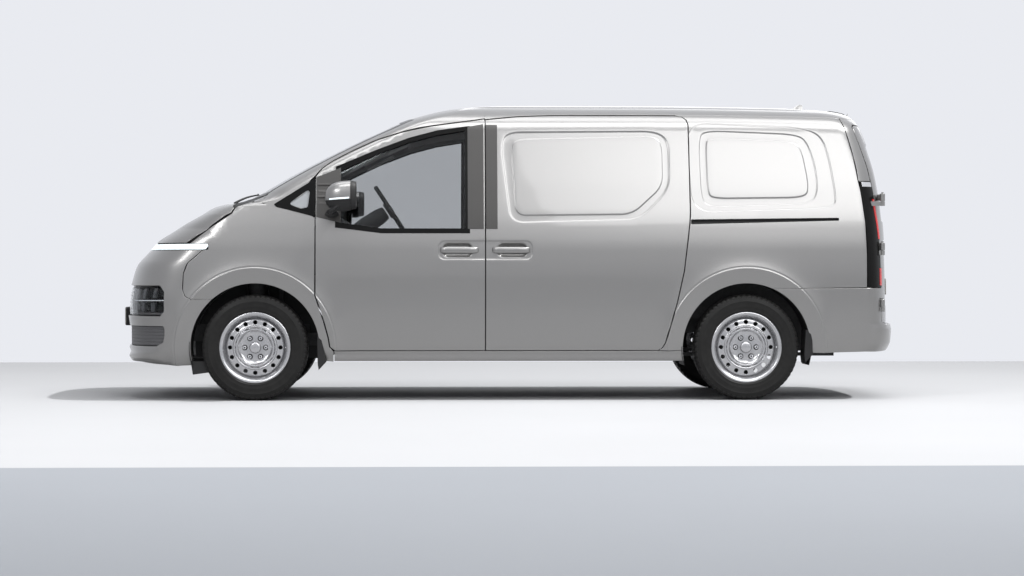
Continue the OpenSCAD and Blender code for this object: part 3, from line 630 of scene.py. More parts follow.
PAINT = material("silver_paint", (0.24, 0.237, 0.233), 0.32, "paint", metal=0.8, coat=0.5, spread=0.05, scale=900,
                 rough_spread=0.02, bump=(2200, 0.02, 0.2))
TRIM = material("dark_trim", (0.028, 0.0265, 0.025), 0.5, "black_plastic", spread=0.08, scale=500,
                bump=(900, 0.15, 0.2))
GREY = material("grained_grey", (0.07, 0.07, 0.074), 0.55, "grey_plastic", spread=0.08, scale=400,
                bump=(700, 0.2, 0.3))
BLACK = material("grained_black", (0.01, 0.01, 0.0105), 0.55, "black_plastic", spread=0.15, scale=300,
                 bump=(500, 0.2, 0.3), Specular_IOR_Level=0.3)
GLOSS = material("gloss_black", (0.006, 0.006, 0.006), 0.2, "black_plastic", spread=0.1, scale=40,
                 Specular_IOR_Level=0.1)
UNDER = material("underbody_coat", (0.02, 0.02, 0.021), 0.6, "chassis", spread=0.3, scale=60, bump=(150, 0.3, 0.6))
RUBBER = material("tyre_rubber", (0.008, 0.0078, 0.0075), 0.5, "tyre", spread=0.25, scale=25, rough_spread=0.06,
                  bump=(400, 0.12, 0.3), Specular_IOR_Level=0.2)
STEEL = material("wheel_paint", (0.4, 0.4, 0.41), 0.25, "wheel_steel", metal=0.85, coat=0.3, spread=0.04,
                 scale=700, rough_spread=0.02, bump=(1500, 0.02, 0.1))
BRIGHT = material("bright_metal", (0.75, 0.75, 0.76), 0.18, "wheel_steel", metal=1.0, spread=0.05, scale=150,
                  rough_spread=0.04)
CAST = material("cast_metal", (0.22, 0.22, 0.22), 0.5, "cast_metal", metal=0.7, spread=0.25, scale=60,
                bump=(200, 0.3, 0.5))
# Worn by CAD pieces only
material("inner_panel", (0.26, 0.27, 0.28), 0.5, "inner_panel", metal=0.2, spread=0.08, scale=200,
                 bump=(300, 0.05, 0.3))
CABIN = material("cab_plastic", (0.03, 0.03, 0.031), 0.6, "cab_plastic", spread=0.15, scale=300,
                 bump=(600, 0.25, 0.3))
LINER = material("headliner", (0.4, 0.39, 0.37), 0.85, "cab_plastic", spread=0.08, scale=700,
                 bump=(1200, 0.3, 0.4))
GLASS = material("window_glass", (0.64, 0.65, 0.655), 0.0, "window_glass", spread=0.01, scale=3,
                 Transmission_Weight=1.0, IOR=1.3)
PALE_GLASS = material("quarter_tint", (0.5, 0.52, 0.54), 0.05, "window_glass", spread=0.02, scale=3,
                      Transmission_Weight=0.45, IOR=1.3)
DARK_GLASS = material("screen_glass", (0.45, 0.48, 0.5), 0.0, "window_glass", spread=0.01, scale=3,
                      Transmission_Weight=1.0, IOR=1.45)
LENS = material("clear_lens", (0.9, 0.92, 0.93), 0.0, "clear_lens", spread=0.01, scale=20, Transmission_Weight=1.0,
                IOR=1.12)
RED = material("red_lens", (0.28, 0.002, 0.004), 0.1, "red_lens", coat=0.6, spread=0.15, scale=80,
               Emission_Strength=0.6, Emission_Color=(0.6, 0.0, 0.0, 1))
GLOW = material("light_guide", (0.85, 0.92, 0.95), 0.25, "clear_lens", spread=0.04, scale=120,
                Emission_Strength=0.5, Emission_Color=(0.8, 0.95, 1.0, 1))


def place(ob, mat, body="van_body", nodes=(), slot=None):
    ob.data.materials.clear()
    ob.data.materials.append(mat)
    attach(ob, body)
    if nodes:
        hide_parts(*nodes)
    return ob


def place_side(ob, mat, side, body, node):
    """In body and node, * stands for the side. A node without it is stood for by the left piece."""
    stands = [node.replace("*", side)] if node and (side == "left" or "*" in node) else []
    place(ob, mat, body.replace("*", side), stands)


def pair(name, sheet, mat, body="van_body", node=None):
    """The same piece on the left and the right."""
    for side in SIDES:
        place_side(sheet.object(name + "_" + side, mirror=side == "right"), mat, side, body, node)


def single(name, sheet, mat, nodes=(), body="van_body"):
    place(sheet.object(name), mat, body, nodes)


# ---- body panels: outlines are [x from an axle, height], unless x is spelled out
DOOR_TOP = [(446, 1545), (512, 1592), (634, 1657), (803, 1734), (973, 1787), (1162, 1828), (1461, 1870)]
DOOR_FOOT = [(500, 356), (489, 422), (462, 521), (429, 621), (403, 700)]
SLIDE_BACK = [(-465, 1915), (-415, 1905), (-385, 1880), (-375, 1843), (-372, 1246), (-377, 1175),
              (-390, 1068), (-417, 854), (-461, 658), (-506, 498), (-541, 382), (-560, 350), (-586, 333)]
ROOF_EDGE = [(POST_X, 1882), (POST_X + 228, 1905), (POST_X + 478, 1915)]
HOOD_LINE = [(-447, 1042), (-299, 1144), (-151, 1242), (-132, 1277)]
PILLAR_FOOT = [(83, 1373), (125, 1303), (144, 1286), (396, 1214)]
HANDLES = rounded([(-497, 932), (138, 932), (138, 1067), (-497, 1067)], 45)
BOWLS = [rounded([(x0, 946), (x1, 946), (x1, 1056), (x0, 1056)], 40) for x0, x1 in ((-470, -260), (-105, 105))]
# Depth and width of the edge: a shallow field, with a bowl behind each handle
HANDLE_PRESSES = [press(HANDLES, -7, 12)] + [press(b, -30, 34) for b in BOWLS]
FLARE_R, FLARE_OUT = 528, 12
BELOW_AXLE = 0.72  # below the axles the arches' circles are stretched down by 1 / BELOW_AXLE
ARCH_REACH = 900
CREASES = [-3, 0, 3, 7, 12, 19, 30]  # mesh lines round an arch, out from FLARE_R


def flare(s, t):
    """The arches stand out towards a crease, and turn in from it to the wheel opening."""
    total = np.zeros(len(s))
    for x in (FRONT_X, REAR_X):
        r = np.hypot(s - x, np.where(t > WHEEL_Z, t - WHEEL_Z, (t - WHEEL_Z) * BELOW_AXLE))
        outer = FLARE_OUT * np.exp(-np.maximum(r - FLARE_R, 0) / 45)
        inner = FLARE_OUT - 15 * np.clip((FLARE_R - r) / (FLARE_R - ARCH_R), 0, 1.3) ** 0.8
        shape = np.where(r > FLARE_R, outer, inner) - 3 * np.exp(-((r - FLARE_R - 7) / 6) ** 2)
        total = np.where(np.abs(s - x) < ARCH_REACH, shape, total)
    return total


def side_height(presses=()):
    bumps = pressed([*presses, *HANDLE_PRESSES])
    return lambda s, t: flare(s, t) + bumps(s, t)


def arch_lines(x):
    return [circle(x, WHEEL_Z, FLARE_R + r, 160) for r in CREASES]


WINDSCREEN = [(0, 1345), (400, 1350), (815, 1375), (680, 1872), (400, 1888), (0, 1892)]


def screen_outline(grow=0.0):
    half = [end_yz(y + (grow if y > 500 else 0), z + (-grow if z < 1500 else grow)) for y, z in WINDSCREEN]
    return half + [(s, t) for s, t in mirrored(half) if s < -1]


def fender():
    post = [(x - GAP - 2, z) for x, z in reversed(DOOR_FOOT)]
    outer = front([(-306, 1042), (-430, 1042)] + HOOD_LINE[1:] + [(-118, 1290), (-30, 1322)] + PILLAR_FOOT + post)
    outer += front([(520, SKIRT_TOP), (520, SKIRT_LOW), (0, SKIRT_LOW), (0, 672), (-423, 675), (-459, 695),
                    (-473, 735), (-468, 843), (-440, 913), (-342, 996), (-306, 1003)])
    sheet = panel_sheet(side_map, outer, [wheel_opening(FRONT_X)], depth=10, step=36, height=side_height(),
                        lines=arch_lines(FRONT_X))
    pair("fender", sheet, PAINT, node="fender_*")


def glass_outline(grow=0.0):
    low, post = 1138 - grow, POST_X - 130 + grow
    return (front([(558 - grow, 1176 - grow), (838, low)]) + [(post, low), (post, 1806 + grow)]
            + front([(1210, 1776 + grow), (1023, 1726 + grow), (808, 1645 + grow), (562 - grow, 1530 + grow)]))


def front_doors():
    post = POST_X - GAP / 2
    outer = [(post, DOOR_LOW), (LEAD_X + 131, DOOR_LOW)] + front(DOOR_FOOT + [(403, 1490)] + DOOR_TOP)
    sheet = panel_sheet(side_map, outer + [(post, 1881)], [glass_outline(6)], depth=30, step=40,
                        height=side_height(), lines=press_lines(HANDLE_PRESSES, 16) + arch_lines(FRONT_X))
    pair("front_door", sheet, PAINT, "front_door_*", "front_door_*")
    card = rounded([(LEAD_X + 215, 390), (POST_X - 70, 390), (POST_X - 70, 1120), (LEAD_X + 105, 1120),
                    (LEAD_X + 105, 760)], 50)
    pocket = rounded([(LEAD_X + 300, 440), (POST_X - 150, 440), (POST_X - 150, 660), (LEAD_X + 300, 660)], 50)
    card = panel_sheet(side_map, card, depth=28, step=60, edge=3, lift=-32, presses=[press(pocket, -9, 14)])
    pair("front_door_card", card, CABIN, "front_door_*")
    glass = panel_sheet(side_map, glass_outline(8), depth=5, step=60, edge=1, lift=-14)
    pair("front_glass", glass, GLASS, "front_door_*", "front_glass_*")


SHUT = [(660, 1898), (680, 1829), (726, 1646), (755, 1468), (771, 1393), (795, 1198), (804, 969), (804, 752)]
# The side panel's pressings: outline from the rear axle, depth, width of the edge, easing of the corners
QUARTER = [([(-401, 1867), (360, 1847), (522, 1799), (575, 1621), (611, 1354), (600, 1300), (522, 1273),
             (-370, 1243)], -6, 16, 80),
           ([(-316, 1764), (-263, 1814), (361, 1796), (433, 1736), (486, 1532), (486, 1362), (415, 1305),
             (-263, 1282), (-308, 1353)], -5, 14, 70),
           ([(-268, 1728), (-245, 1760), (325, 1746), (388, 1692), (433, 1407), (388, 1350), (-228, 1341),
             (-263, 1389)], 6, 12, 60)]


def side_panels():
    presses = [press(turned_left(eased(rear(points), reach)), depth, width)
               for points, depth, width, reach in QUARTER]
    outer = rear([(0, 742), (0, SKIRT_TOP)] + SLIDE_BACK[::-1] + [(654, 1915)] + SHUT)
    slot = rounded(rear([(-372, 1172), (-372, 1204), (619, 1216), (619, 1197)]), 6)
    sheet = panel_sheet(side_map, outer, [wheel_opening(REAR_X), slot], step=36, height=side_height(presses),
                        lines=press_lines(presses) + arch_lines(REAR_X), edge=1.5)
    pair("side_panel", sheet, PAINT, node="side_panel_*")
    pair("door_rail", panel_sheet(side_map, slot, depth=20, step=60, lift=-28, edge=1), BLACK)


SLIDE_OUTER = [(-81, 1710), (-36, 1799), (962, 1808), (1060, 1746), (1060, 1407), (855, 1198), (-18, 1175)]
SLIDE_INNER = [(-9, 1692), (27, 1749), (962, 1772), (1012, 1710), (1012, 1425), (802, 1234), (17, 1225)]


def sliding_doors():
    presses = [press(turned_left(eased(loop, reach)), depth, width)
               for loop, reach, depth, width in ((SLIDE_OUTER, 50, -6, 18), (SLIDE_INNER, 40, 5, 12))]
    post = POST_X + GAP / 2
    outer = [(post, DOOR_LOW), (post, 1875)] + [(x, z - GAP) for x, z in ROOF_EDGE[1:]]
    outer += rear([(x - GAP, min(z, 1908)) for x, z in SLIDE_BACK])
    sheet = panel_sheet(side_map, outer, step=40, height=side_height(presses),
                        lines=press_lines(presses + HANDLE_PRESSES) + arch_lines(REAR_X))
    pair("sliding_door", sheet, PAINT, node="sliding_door_*")


def level_line(z, x_from, tail=False):
    """Left half of the body's outline at one height, from the middle of an end back to x."""
    s = -np.linspace(0, abs(end_xz(x_from, z, tail)[0]), 40)
    return [tuple(p[:2]) for p in end_map(s, np.full(40, end_t(z, tail)), tail)]


RIBS = [-500, -250, 0, 250, 500]
RIB_HEIGHT, RIB_WIDTH, RIB_RAMP = 5, 45, 120


def roof():
    left = level_line(1925, POST_X)[1:] + [(x, -float(half_width(x, z))) for x, z in ROOF_EDGE]
    left += level_line(1915, POST_X + 500, True)[:0:-1]
    outer = left + [(x, -y) for x, y in reversed(left)]
    start, end = POST_X - 150, REAR_X + 500

    def height(s, t):
        along = np.clip((s - start) / RIB_RAMP, 0, 1) * np.clip((end - s) / RIB_RAMP, 0, 1)
        return RIB_HEIGHT * along * sum(np.exp(-(((t - y) / RIB_WIDTH) ** 4)) for y in RIBS)

    sheet = panel_sheet(top_map, outer, step=45, height=height, edge=1.5, soft=lambda s, t: s < POST_X - 20)
    single("roof_panel", sheet, PAINT, ["roof_panel"])


def cab_frame():
    """The pillars beside the windscreen and the doors, and the header over it."""
    rail = [(x - 4, z + GAP) for x, z in DOOR_TOP]
    left = on_nose(PILLAR_FOOT + [(396, 1497)] + rail) + [end_xz(POST_X, 1889), end_xz(POST_X, 1925)]
    s_end, t_end = left[-1]
    across = [(s, t_end) for s in np.linspace(s_end, 0, 24)[1:]]
    outer = left + across + mirrored(left + across[:-1])
    screen, quarter = screen_outline(), on_nose([(160, 1308), (382, 1258), (382, 1430)])
    s, t = screen[2]
    below = [(s, t), (-s, t), (-s + 60, nose_t(1100)), (s - 60, nose_t(1100))]
    holes = [screen, mirrored(quarter), quarter, turned_left(below)]
    sheet = panel_sheet(nose_map, outer, holes, step=36, edge=1.5, soft=lambda s, t: np.abs(t - t_end) < 2)
    single("cab_frame", sheet, PAINT, ["cab_frame"])
    glass = panel_sheet(nose_map, screen_outline(4), depth=6, step=45, edge=1, lift=-3)
    single("windscreen", glass, DARK_GLASS, ["windscreen"])


# ---- front end
OPENING = [(-2000, 560), (-628, 560), (-598, 592), (-598, 722), (-628, 765), (-2000, 765)]
INTAKE = [(-2000, 360), (-656, 360), (-608, 385), (-598, 430), (-598, 495), (-2000, 495)]
LAMP_Y = 560
BUMPER_EDGE = [(-270, 228), (-270, 672), (-423, 672), (-462, 692), (-477, 735), (-472, 843), (-443, 916),
               (-345, 999)]


def band(points):
    """Full-width end outline of a band given by its left end in side view."""
    left = rounded([end_xz(FRONT_X + x, z) if x > -900 else (0.0, end_t(z)) for x, z in points], 26)
    return both([p for p in left if p[0] < -20])


def end_arch_lines(x, tail=False):
    """The arch creases of both sides on an end map."""
    ahead = 1 if tail else -1
    rings = []
    for ring in arch_lines(x):
        part = [end_xz(px, z, tail) for px, z in ring if (px - x) * ahead > 40 and z > 190]
        rings += [part, [(-s, t) for s, t in part]]
    return rings


def spread(points, step=60):
    """An end outline with its long edges broken up, so that it bends round the end."""
    return resample(points, step)


def front_bumper():
    left = on_nose(BUMPER_EDGE)
    left = left[:2] + rounded(left, 14)[6:-6] + left[-1:]
    outer = spread(both(on_nose([(-760, 258), (-560, 238)]) + left))

    def height(s, t):
        z = nose_z(t)
        groove = 6 * np.exp(-((z - 345) / 10) ** 2) - 9 * np.exp(-((z - 318) / 12) ** 2)
        lip = 12 * np.clip((340 - z) / 60, 0, 1) * np.clip((z - 215) / 60, 0, 1)
        p = nose_map(s, t)
        return (groove + lip) * np.clip((1500 - np.abs(s)) / 300, 0, 1) + flare(p[:, 0], p[:, 2])

    sheet = panel_sheet(nose_map, outer, [band(OPENING), band(INTAKE)] + end_openings(FRONT_X), step=30,
                        height=height, lines=end_arch_lines(FRONT_X))
    single("front_bumper", sheet, PAINT, ["front_bumper"])
    strip = both(on_nose([(-760, 232), (-560, 220), (-330, 214), (-330, 262), (-560, 268), (-760, 282)]))
    single("chin_strip", panel_sheet(nose_map, spread(strip), depth=20, step=40, lift=-52), BLACK)

    def ribs(s, t):
        return 7 * np.abs(np.sin(np.pi * (nose_z(t) - 360) / 22.5)) ** 0.6

    sheet = panel_sheet(nose_map, band(INTAKE), depth=14, step=11, lift=-16, height=ribs, edge=1)
    single("lower_intake", sheet, GREY)


def grille():
    """Slats both ways over a dark plate between the lamps."""
    back = panel_sheet(nose_map, band(OPENING), depth=8, step=60, lift=-58, edge=1)
    single("grille_plate", back, BLACK, ["grille"])
    sheet = Sheet()
    edge = abs(end_yz(LAMP_Y, 660)[0])
    low, high = end_t(562), end_t(763)
    rows = 9
    for i in range(1, rows):
        t = low + (high - low) * i / rows
        bar = spread([(-edge, t - 5), (edge, t - 5), (edge, t + 5), (-edge, t + 5)])
        sheet.merge(panel_sheet(nose_map, bar, depth=26, step=30, lift=-14 - 3 * (i % 2), edge=1.5))
    for k in range(-9, 10):
        s = edge * k / 9.5
        bar = [(s - 4, low), (s + 4, low), (s + 4, high), (s - 4, high)]
        sheet.merge(panel_sheet(nose_map, bar, depth=22, step=40, lift=-20, edge=1))
    single("grille_slats", sheet, GLOSS)


def headlamps():
    start = -abs(end_yz(LAMP_Y + 8, 660)[0])
    left = rounded(on_nose(OPENING[1:5]), 22)
    outline = turned_left(spread([(start, end_t(563))] + left + [(start, end_t(762))]))
    pair("headlamp_lens", panel_sheet(nose_map, shifted(outline, 5), depth=4, step=40, edge=1, lift=-9), LENS)
    blades, posts, lights = Sheet(), Sheet(), Sheet()
    end = min(s for s, t in left) + 12

    def at(k, z):
        return end + (start - end) * k, end_t(z)

    def block(sheet, k0, k1, z0, z1, depth, lift, edge):
        (s0, t0), (s1, t1) = at(k0, z0), at(k1, z1)
        sheet.merge(panel_sheet(nose_map, spread([(s0, t0), (s1, t0), (s1, t1), (s0, t1)]), depth=depth, step=30,
                                lift=lift, edge=edge))

    block(blades, 0.02, 0.86, 662, 668, 26, -20, 1.5)
    block(posts, 0.0, 0.9, 566, 582, 30, -24, 3)
    for k in (0.24, 0.5, 0.74):
        block(posts, k - 0.045, k + 0.045, 588, 652, 22, -30, 5)
        block(posts, k - 0.05, k + 0.02, 680, 752, 22, -30, 5)
        s, t = at(k + 0.1, 622)
        posts.merge(panel_sheet(nose_map, circle(s, t, 21, 28), [circle(s, t, 16, 28)], depth=24, step=12,
                                lift=-26, edge=1.5))
        lights.merge(panel_sheet(nose_map, circle(s, t, 15, 28), depth=12, step=10, lift=-32, edge=5))
    for i in range(3):
        for z in (714, 736):
            block(lights, 0.86 + 0.045 * i, 0.89 + 0.045 * i, z, z + 14, 10, -14, 2)
    pair("headlamp_blades", blades, BRIGHT)
    pair("headlamp_posts", posts, GREY)
    pair("headlamp_lights", lights, LENS)


def light_bar():
    def bar(points, **how):
        left = on_nose(points)
        middle = (left[0][0] * 0.8, end_t(points[0][1]))
        return panel_sheet(nose_map, spread(both([middle] + left)), **how)

    sheet = bar([(-345, 1004), (-322, 1006), (-306, 1030), (-312, 1040)], depth=30, step=40, edge=3, lift=2)
    single("light_bar", sheet, GLOW, ["light_bar"])
    back = bar([(-345, 1000), (-300, 1003), (-298, 1034), (-306, 1043)], depth=40, step=60, edge=1, lift=-3)
    single("light_bar_surround", back, GLOSS)


def end_xy(x, y):
    return end_yz(y, top_at(x, y))


def bonnet_back(grow):
    ys = np.linspace(-760, 0, 16)
    return [end_xy(FRONT_X - 292 + grow + 153 * (y / 760) ** 2, y if y else -0.01) for y in ys]


def bonnet():
    side = on_nose([(-452, 1049), (-304, 1151), (-157, 1249), (-140, 1281)])
    s_end, t_end = side[0]
    across = [(s, t_end) for s in np.linspace(-s_end, s_end, 40)[1:-1]]

    def height(s, t):
        y, z = np.abs(nose_map(s, t)[:, 1]), nose_z(t)
        ramps = [np.clip(k, 0, 1) for k in ((z - 1046) / 90, (1297 - z) / 80, (680 - y) / 330)]
        hollow = math.prod(k * k * (3 - 2 * k) for k in ramps)
        return 5 * np.exp(-((y - 560) / 55) ** 2) - 3 * np.exp(-((y - 470) / 40) ** 2) - 30 * hollow

    sheet = panel_sheet(nose_map, both(side + bonnet_back(0)[:-1]) + across, depth=58, step=32, height=height)
    single("bonnet_skin", sheet, PAINT, ["bonnet"], body="bonnet")


def cowl():
    screen = [end_yz(y, z - 3) for y, z in ((815, 1375), (400, 1350), (0.01, 1345))]
    side = on_nose([(-132, 1277), (-60, 1310), (83, 1368)])
    left = bonnet_back(10)[::-1] + side + [(-s, t) for s, t in screen]

    def height(s, t):
        return 3 * np.abs(np.sin(s / 9)) * np.clip((t - nose_t(1290)) / 20, 0, 1)

    sheet = panel_sheet(nose_map, left + mirrored(left)[1:], depth=30, step=24, height=height, lift=-4)
    single("cowl_grille", sheet, BLACK, ["cowl"])


# ---- wheels
def solid(name, verts, faces, sharp=38):
    mesh = bpy.data.meshes.new(name)
    mesh.from_pydata((np.array(verts, float) / MM).tolist(), [], [tuple(int(i) for i in f) for f in faces])
    mesh.polygons.foreach_set("use_smooth", [True] * len(mesh.polygons))
    mesh.set_sharp_from_angle(angle=math.radians(sharp))
    mesh.update()
    return link(bpy.data.objects.new(name, mesh))


def lathe(profile, count=128, shape=None):
    """Turned about the wheel's axle: profile rows are [radius, distance outboard]. Points are x, out, z."""
    a = 2 * np.pi * np.arange(count) / count
    r, out = (np.tile(column, (count, 1)) for column in np.array(profile, float).T)
    if shape:
        r = shape(r, out, a[:, None] + 0 * r)
    verts = np.stack([r * np.cos(a)[:, None], out, r * np.sin(a)[:, None]], -1).reshape(-1, 3)
    n = len(profile)
    faces = [(i * n + k, i * n + k + 1, (i + 1) % count * n + k + 1, (i + 1) % count * n + k)
             for i in range(count) for k in range(n - 1)]
    return verts, faces


def joined(parts):
    verts, faces, count = [], [], 0
    for v, f in parts:
        verts.append(np.array(v, float))
        faces += [tuple(int(i) + count for i in face) for face in f]
        count += len(v)
    return np.concatenate(verts), faces


def loft(sections):
    """Closed rings of equal length joined in turn, with both ends closed."""
    n, last = len(sections[0]), len(sections) - 1
    faces = [(i * n + k, i * n + (k + 1) % n, (i + 1) * n + (k + 1) % n, (i + 1) * n + k)
             for i in range(last) for k in range(n)]
    verts = np.concatenate([np.array(s, float) for s in sections])
    return verts, faces + [tuple(range(n))[::-1], tuple(range(last * n, (last + 1) * n))]


def prism(points, low, high, chamfer=0.0):
    """A convex outline of [x, z] swept outboard between two distances, with a chamfered end."""
    p = np.array(points, float)
    c = p.mean(0)
    end = c + (p - c) * (1 - chamfer / np.abs(p - c).max())
    return loft([[(x, out, z) for x, z in q] for q, out in ((p, low), (p, high - chamfer), (end, high))])


def upright(points, stations):
    """A plan outline of [x, y] swept up through stations of [height, scale]."""
    c = np.mean(points, 0)
    return loft([[(c[0] + (x - c[0]) * k, c[1] + (y - c[1]) * k, z) for x, y in points] for z, k in stations])


def side_prism(points, y0, y1):
    """A side-view outline of [x, z] swept across the van, with softened ends."""
    soft = (y1 - y0) * 0.03
    verts, faces = upright(points, ((y0, 0.95), (y0 + soft, 1), (y1 - soft, 1), (y1, 0.95)))
    return verts[:, [0, 2, 1]], faces


def both_solids(name, part, mat, body="van_body", sharp=38, node=None, given="left"):
    """A part given on one side, and its mirror image on the other."""
    for side in SIDES:
        verts, faces = part
        if side != given:
            verts, faces = verts * [1, -1, 1], [f[::-1] for f in faces]
        place_side(solid(name + "_" + side, verts, faces, sharp), mat, side, body, node)


def on_wheel(name, part, mat, corner, node=None, sharp=38):
    """Puts a left-hand wheel piece, given as x, out, z, on one of the four wheels."""
    end, side = corner.split("_")
    verts, faces = part
    sign = -1 if side == "left" else 1
    verts = np.array(verts) * [1, sign, 1] + [FRONT_X if end == "front" else REAR_X, sign * WHEEL_Y, WHEEL_Z]
    if sign > 0:
        faces = [f[::-1] for f in faces]
    return place(solid(name + "_" + corner, verts, faces, sharp), mat, "wheel_" + corner, [node] if node else ())


RIM_R = 214
TREAD = [(-84, 0), (-62, 0), (-62, 1), (-52, 1), (-52, 0), (-25, 0), (-25, 1), (-15, 1), (-15, 0), (15, 0),
         (15, 1), (25, 1), (25, 0), (52, 0), (52, 1), (62, 1), (62, 0), (84, 0)]
SIDEWALL = [(RIM_R + 2, 84), (RIM_R + 18, 90), (RIM_R + 22, 97), (RIM_R + 30, 101), (RIM_R + 33, 104),
            (RIM_R + 38, 103.5), (268, 105.5), (272, 106.3), (276, 105.8), (290, 107), (304, 106.2), (307, 107),
            (310, 106), (322, 103.5), (331, 100.5), (333, 101), (340, 97), (346, 92)]
DISC = [(40, 50), (84, 50), (100, 53), (112, 62), (119, 69), (126, 69), (131, 60), (136, 67), (142, 68),
        (150, 60), (156, 59), (184, 55), (191, 49), (199, 36)]
VENT_R, VENTS, VENT_HOLE = 168, 16, 14.5
NUT_R, NUTS = 70, 6
# Rows of [radius past RIM_R, distance outboard]
BARREL_ROWS = [(-12, -100), (16, -100), (21, -95), (18, -88), (0, -84), (-2, -40), (-16, -30), (-16, 20), (-2, 34),
               (0, 84), (18, 88), (22, 93), (21, 97), (17, 99.5), (11, 99), (4, 95), (-3, 88), (-8, 80),
               (-10, 62), (-13, 55), (-17, 50), (-18, 36), (-20, -26), (-14, -36), (-10, -88), (-12, -100)]
# Radii of mesh lines on the disc
RIDGES = [84, 92, 100, 106, 112, 116, 119, 122.5, 126, 128.5, 131, 133.5, 136, 139, 142, 146, 150, 184, 188, 191]
TYRE_STEPS = 240
CORNERS = ("front_left", "front_right", "rear_left", "rear_right")


def tread_blocks(r, out, a):
    """Cuts the tread's grooves across the tyre."""
    step = np.round(a / (2 * np.pi) * TYRE_STEPS).astype(int)
    shoulder = (np.abs(out) > 61) & (r > 331)
    middle = (np.abs(out) < 53) & (r > TYRE_R - 4)
    cut = np.where(shoulder & (step % 4 == 0), 6.0, 0)
    return r - np.where(middle & ((step + (np.abs(out) / 6).astype(int)) % 6 == 0), 3.0, cut)


def wheels():
    tread = [(TYRE_R - 7.5 * deep - 4.5 * (abs(out) / 84) ** 3, out) for out, deep in TREAD]
    tyre = lathe([(r, -out) for r, out in SIDEWALL] + tread + SIDEWALL[::-1], TYRE_STEPS, tread_blocks)
    rim = lathe([(RIM_R + r, out) for r, out in BARREL_ROWS])
    face = smooth_table(DISC)

    def disc_map(s, t):
        r = np.hypot(s, t)
        dish = 2.2 * np.cos(np.arctan2(t, s) * NUTS) * np.exp(-((r - 92) / 14) ** 2)
        return np.stack([FRONT_X + s, -(WHEEL_Y + face(r) + dish), WHEEL_Z + t], -1)

    vents = [circle(x, z, VENT_HOLE, 28) for x, z in circle(0, 0, VENT_R, VENTS)]
    disc = panel_sheet(disc_map, circle(0, 0, DISC[-1][0], 140), vents, depth=5, step=12, edge=1.5,
                       lines=[circle(0, 0, r, 120) for r in RIDGES])
    cap = lathe([(0.5, 78), (26, 77.5), (33, 75), (37, 70), (39.5, 62), (40, 52)], 48)
    drum = lathe([(60, -10), (135, -10), (140, -4), (140, 22), (134, 30), (90, 32), (88, 36), (60, 36)], 64)
    nuts, washers = [], []
    for x, z in circle(0, 0, NUT_R, NUTS):
        washers += [prism(circle(x, z, 19, 28), 48, 51.5, 1.0), prism(circle(x, z, 6, 16), 67, 71, 1.5)]
        nuts.append(prism(circle(x, z, 13.5, 6), 51, 68, 2.5))
    nuts.append(prism(circle(204, 0, 4.5, 12), 50, 78, 2))
    for corner in CORNERS:
        on_wheel("tyre_tread", tyre, RUBBER, corner, "tyre_" + corner, 30)
        on_wheel("rim_barrel", rim, STEEL, corner, "rim_" + corner)
        on_wheel("hub_cap", cap, STEEL, corner)
        on_wheel("wheel_nuts", joined(nuts), BRIGHT, corner)
        on_wheel("nut_seats", joined(washers), BLACK, corner)
        end, side = corner.split("_")
        disc_ob = disc.object("wheel_disc_" + corner, side == "right", 0 if end == "front" else REAR_X - FRONT_X)
        place(disc_ob, STEEL, "wheel_" + corner)
    for corner in CORNERS:
        on_wheel("brake_disc", drum, CAST, corner)


# ---- rear end
LAMP_TOP, LAMP_FOOT, STEP_TOP = 1466, 752, 505
REAR_HINGES = [620, 1000, 1330]
HINGE_X, HINGE_Y = TAIL_X - 137, 885
STRAP_LOW = 700  # the bumper is in the way of a strap below this
LAMP_EDGE, LEAN_Z, LEAN = 867, 1250, 0.13


def rear_frame():
    """The rear corners above the lamps and the header over the doors."""
    edge = on_rear([(-838, 1470), (-770, 1800), (-743, 1853), (-702, 1873)])
    left = on_tail([(660, 1914)] + [(x + 6, z) for x, z in SHUT[:4]]) + edge
    half = left + [(s, edge[-1][1]) for s in np.linspace(edge[-1][0], 0, 16)[1:]]
    top = [(s, left[0][1]) for s in np.linspace(0, left[0][0], 22)[:-1]]
    outer = half + mirrored(half[:-1]) + mirrored(top[1:]) + top
    single("rear_frame", panel_sheet(tail_map, outer, step=30, edge=1.5), PAINT)


def lamp_side(z, y=-LAMP_EDGE):
    """The lamp's inner edge, which leans inwards with the door above LEAN_Z."""
    return end_yz(y + max(0, z - LEAN_Z) * LEAN, z, True)


